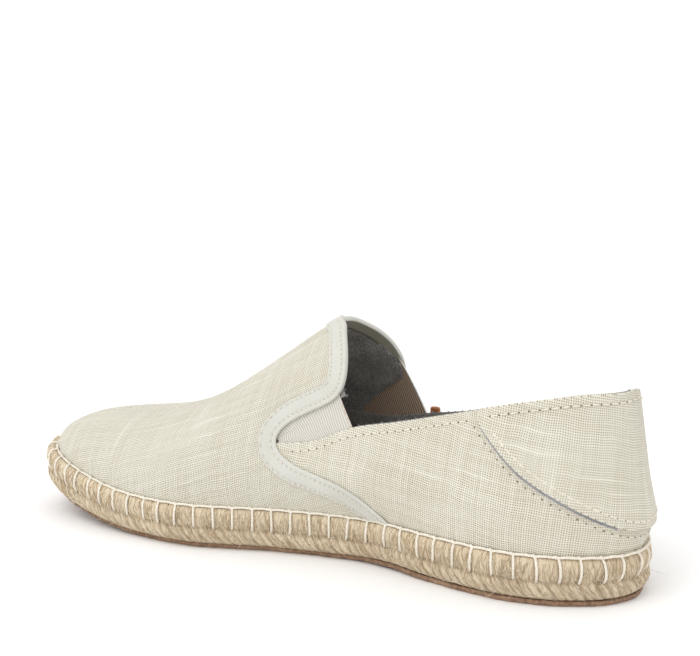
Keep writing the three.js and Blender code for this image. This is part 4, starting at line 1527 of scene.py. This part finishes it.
stitch_arcs = (np.arange(stitch_count)) * stitch_pitch
leg_paths, run_paths, leg_ups, run_ups = [], [], [], []
for arc in stitch_arcs:
    slip = rng.normal(0, 0.25)
    lean = rng.normal(0.2, 0.35)
    span = np.linspace(0, 1, 10)
    sag = 0.45 * np.sin(np.pi * span)
    run_arc = arc + span * stitch_pitch
    run_path = seam_point(run_arc, 0.75 + 0.25 * np.sin(np.pi * span), 0.2 + sag)
    run_paths.append(run_path)
    run_ups.append(np.broadcast_to([0.0, 0.0, 1.0], run_path.shape))
    shares = np.array([1.0, 0.97, 0.9, 0.8, 0.7, 0.6, 0.52, leg_share + 0.03, leg_share - 0.01])
    drift = np.linspace(0, 1, len(shares))
    lifts = np.array([0.6, 0.7, 0.62, 0.55, 0.55, 0.55, 0.45, 0.1, -0.9])
    body, _ = rope_point(arc + slip + lean * drift * 2 - 0.8 * np.sin(np.pi * drift), shares, lifts)
    top = seam_point(np.array([arc + 1.5, arc + 0.5]), 0.8, 0.25)
    top[1, 2] += 0.4
    leg_path = np.concatenate([top, body])
    leg_paths.append(leg_path)
    _, _, out_x, out_s = outline_at(place_at(arc), 0.0)
    leg_ups.append(np.broadcast_to([out_x, -out_s, 0.35], leg_path.shape))


def softened(paths, per_span=3):
    """Rounds a path's corners by a smooth curve through its points."""
    paths = np.asarray(paths)
    count = paths.shape[1]
    at = np.linspace(0, count - 1, (count - 1) * per_span + 1)
    i = np.clip(at.astype(int), 0, count - 2)
    t = (at - i)[None, :, None]
    p0, p1 = paths[:, np.maximum(i - 1, 0)], paths[:, i]
    p2, p3 = paths[:, i + 1], paths[:, np.minimum(i + 2, count - 1)]
    v0, v1 = (p2 - p0) / 2, (p3 - p1) / 2
    return ((2 * p1 - 2 * p2 + v0 + v1) * t**3 + (-3 * p1 + 3 * p2 - 2 * v0 - v1) * t**2
            + v0 * t + p1)


leg_curves, run_curves = softened(leg_paths), softened(run_paths, 2)
leg_tubes = bundle(leg_curves, yarn_radius,
                   np.repeat(np.array(leg_ups)[:, :1], leg_curves.shape[1], 1),
                   sides=8, twist=1.9, plies=0.14)
run_tubes = bundle(run_curves, yarn_radius,
                   np.repeat(np.array(run_ups)[:, :1], run_curves.shape[1], 1),
                   sides=8, twist=1.9, plies=0.14)
make_piece("blanket_stitch", *joined([leg_tubes, run_tubes]), cotton, "stitch_thread", weld=0)

# %% [markdown]
# ## Outsole, footbed and tab
# A thin rubber sheet is cut to the rope's outline and glued under it, so its edge is
# slightly uneven. The footbed is felt with a soft crown. The tab is a folded strip of
# leather sewn into the collar on the outer side.

# %% Build the outsole and the footbed
rubber = Finish("brown_rubber")
rubber_spot = rubber.node("TexCoord", out="Object")
speckle = rubber.noise(rubber_spot, 700.0, 3.0)
scuff = rubber.noise(rubber_spot, 45.0, 4.0)
tread = rubber.node("TexWave", {"wave_type": "BANDS", "bands_direction": "DIAGONAL"},
                    {"Vector": rubber_spot, "Scale": 60.0, "Distortion": 1.5}, out=1)
rubber_base = rubber.blend(speckle.smooth(0.3, 0.7), colour(116, 88, 66), colour(160, 128, 102))
rubber_tone = rubber.blend(scuff.smooth(0.5, 0.8) * 0.5, rubber_base, colour(178, 152, 124))
rubbered = rubber.surface(rubber_tone, 0.72, tread * 0.7 + speckle * 0.3, 0.35)

outsole_arcs = np.linspace(0, girth, 700, endpoint=False)
outsole_rings = []
for share, out in ((0, -0.9), (0.08, -0.45), (0.3, 0.0), (0.75, 0.05), (0.95, -0.1), (1.0, -0.5)):
    ragged = 0.18 * np.sin(outsole_arcs * 0.31) + 0.1 * np.sin(outsole_arcs * 1.13)
    places = place_at(outsole_arcs)
    ahead = smooth_step(station_of(side_and_share(places)[1]), 90, 130)
    x, station, _, _ = outline_at(places, out + ragged - outsole_inset + 0.8 - 1.6 * ahead)
    outsole_rings.append(np.stack([x, heel_end_y - station,
                                   ground_at(station) + share * outsole_thickness], -1))
outsole = make_piece("rubber_outsole", *closed_layer(outsole_rings, 16), rubbered, "rubber")
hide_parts("outsole")

footbed_felt = felt("footbed_felt", colour(112, 110, 108), colour(150, 148, 146), colour(180, 181, 184))
bed_arcs = np.linspace(0, girth, 500, endpoint=False)
bed_rings = []
for share, out in ((0, -0.5), (0.25, 0.0), (0.7, 0.0), (0.9, -0.3), (1.0, -0.9)):
    places = place_at(bed_arcs)
    x, station, _, _ = outline_at(places, out - 2.8 - feather_inset(places))
    bed_rings.append(np.stack([x, heel_end_y - station,
                               rope_top_at(station) + clearance + share * 2.7], -1))
footbed = make_piece("felt_footbed", *closed_layer(bed_rings, 24, (0.0, 0.5)), footbed_felt,
                     "insole_cloth")
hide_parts("insole")

# %% Build the leather tab
hide = Finish("tab_leather")
hide_spot = hide.node("TexCoord", out="Object")
grain = hide.node("TexVoronoi", {"feature": "F1"}, {"Vector": hide_spot, "Scale": 1400.0})
mottle = hide.noise(hide_spot, 300.0, 3.0)
hide_base = hide.blend(mottle.smooth(0.3, 0.7), colour(140, 82, 44), colour(190, 122, 70))
leather = hide.surface(hide_base, 0.5, grain, 0.08, Coat_Weight=0.1)

tab_low, tab_high = [np.array(corner) * 1000 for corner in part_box("side_tab")]
tab_centre = (tab_low + tab_high) / 2
tab_share, tab_drop = 0.38, 1.1
tab_half_width = (tab_high[1] - tab_low[1]) * tab_share
fold_radius, tab_gauge, tab_sink = 0.55, 0.75, 2.4
fold_top = tab_high[2] - tab_drop - fold_radius - tab_gauge / 2
leg_z = np.linspace(tab_low[2] - tab_sink, fold_top, 7)
turns = np.linspace(0, math.pi, 9)[1:-1]
profile = ([(fold_radius, z) for z in leg_z]
           + [(fold_radius * math.cos(t), fold_top + fold_radius * math.sin(t)) for t in turns]
           + [(-fold_radius, z) for z in leg_z[::-1]])
profile = np.array(profile)
profile_way = unit(np.gradient(profile, axis=0))
profile_out = np.stack([profile_way[:, 1], -profile_way[:, 0]], -1)
widths = np.linspace(-1, 1, 9)
bow = 1 - 0.12 * np.abs(widths) ** 3


def tab_grid(offset):
    line = profile + profile_out * offset
    grid = np.empty((len(widths), len(line), 3))
    grid[..., 0] = tab_centre[0] + line[:, 0] * np.ones((len(widths), 1))
    grid[..., 1] = tab_centre[1] + (widths * (tab_half_width - tab_gauge / 2))[:, None]
    lifted = (line[:, 1] - tab_low[2]) * bow[:, None]
    grid[..., 2] = tab_low[2] + np.where(line[:, 1] > tab_low[2], lifted, line[:, 1] - tab_low[2])
    return grid


tab = cloth("leather_tab", tab_grid(tab_gauge / 2), tab_grid(-tab_gauge / 2), leather, "tab_leather")
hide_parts("side_tab")

# %% [markdown]
# ## Fuzz on the felt's cut edge
# Where the felt was cut it frays. Short pale hairs along the collar and over the gores
# soften the line between dark lining and light linen.

# %% Grow the fuzz
fuzz_finish = Finish("felt_fuzz")
fuzz_noise = fuzz_finish.noise(fuzz_finish.node("TexCoord", out="Object"), 600.0)
fuzz_tone = fuzz_finish.blend(fuzz_noise.smooth(0.35, 0.65), colour(92, 94, 100), colour(182, 185, 192))
fuzzy = fuzz_finish.surface(fuzz_tone, 1.0)


def fuzz_along(spots, normals, count, length_range):
    pick = rng.integers(0, len(spots), count)
    root = spots[pick] + rng.normal(0, 0.25, (count, 3))
    way = unit(normals[pick] + rng.normal(0, 0.7, (count, 3)))
    reach = rng.uniform(*length_range, count)[:, None, None] * np.linspace(0, 1, 4)[None, :, None]
    paths = root[:, None] + way[:, None] * reach + rng.normal(0, 0.12, (count, 1, 3)) * reach**2
    return bundle(paths, np.array([0.07, 0.065, 0.05, 0.025]),
                  np.broadcast_to([0.2, 1.0, 0.3], paths.shape), sides=3)


fuzz_parts = []
for side in (1, -1):
    top_rows = last_point(lining_places[-1], lining_climbs[-1])
    near = (np.sign(lining_places[-1]) == side) & (top_rows[:, 1] < 62)
    rim = skin(lining_places[-1][near], lining_climbs[-1][near], lining_face[-1][near] - 0.4)
    ups = np.broadcast_to([0.0, 0.0, 1.0], rim.shape)
    fuzz_parts.append(fuzz_along(rim, ups, 420, (0.4, 1.1)))
    edge = felt_inner[:, 0] if side > 0 else felt_inner[:, -1]
    over_gore = (edge[:, 2] > 60) & (edge[:, 2] < 80)
    fuzz_parts.append(fuzz_along(edge[over_gore], np.broadcast_to([0.0, 1.0, 0.0], edge[over_gore].shape),
                                 260, (0.3, 1.0)))
make_piece("felt_fuzz", *joined(fuzz_parts), fuzzy, "insole_cloth", weld=0)
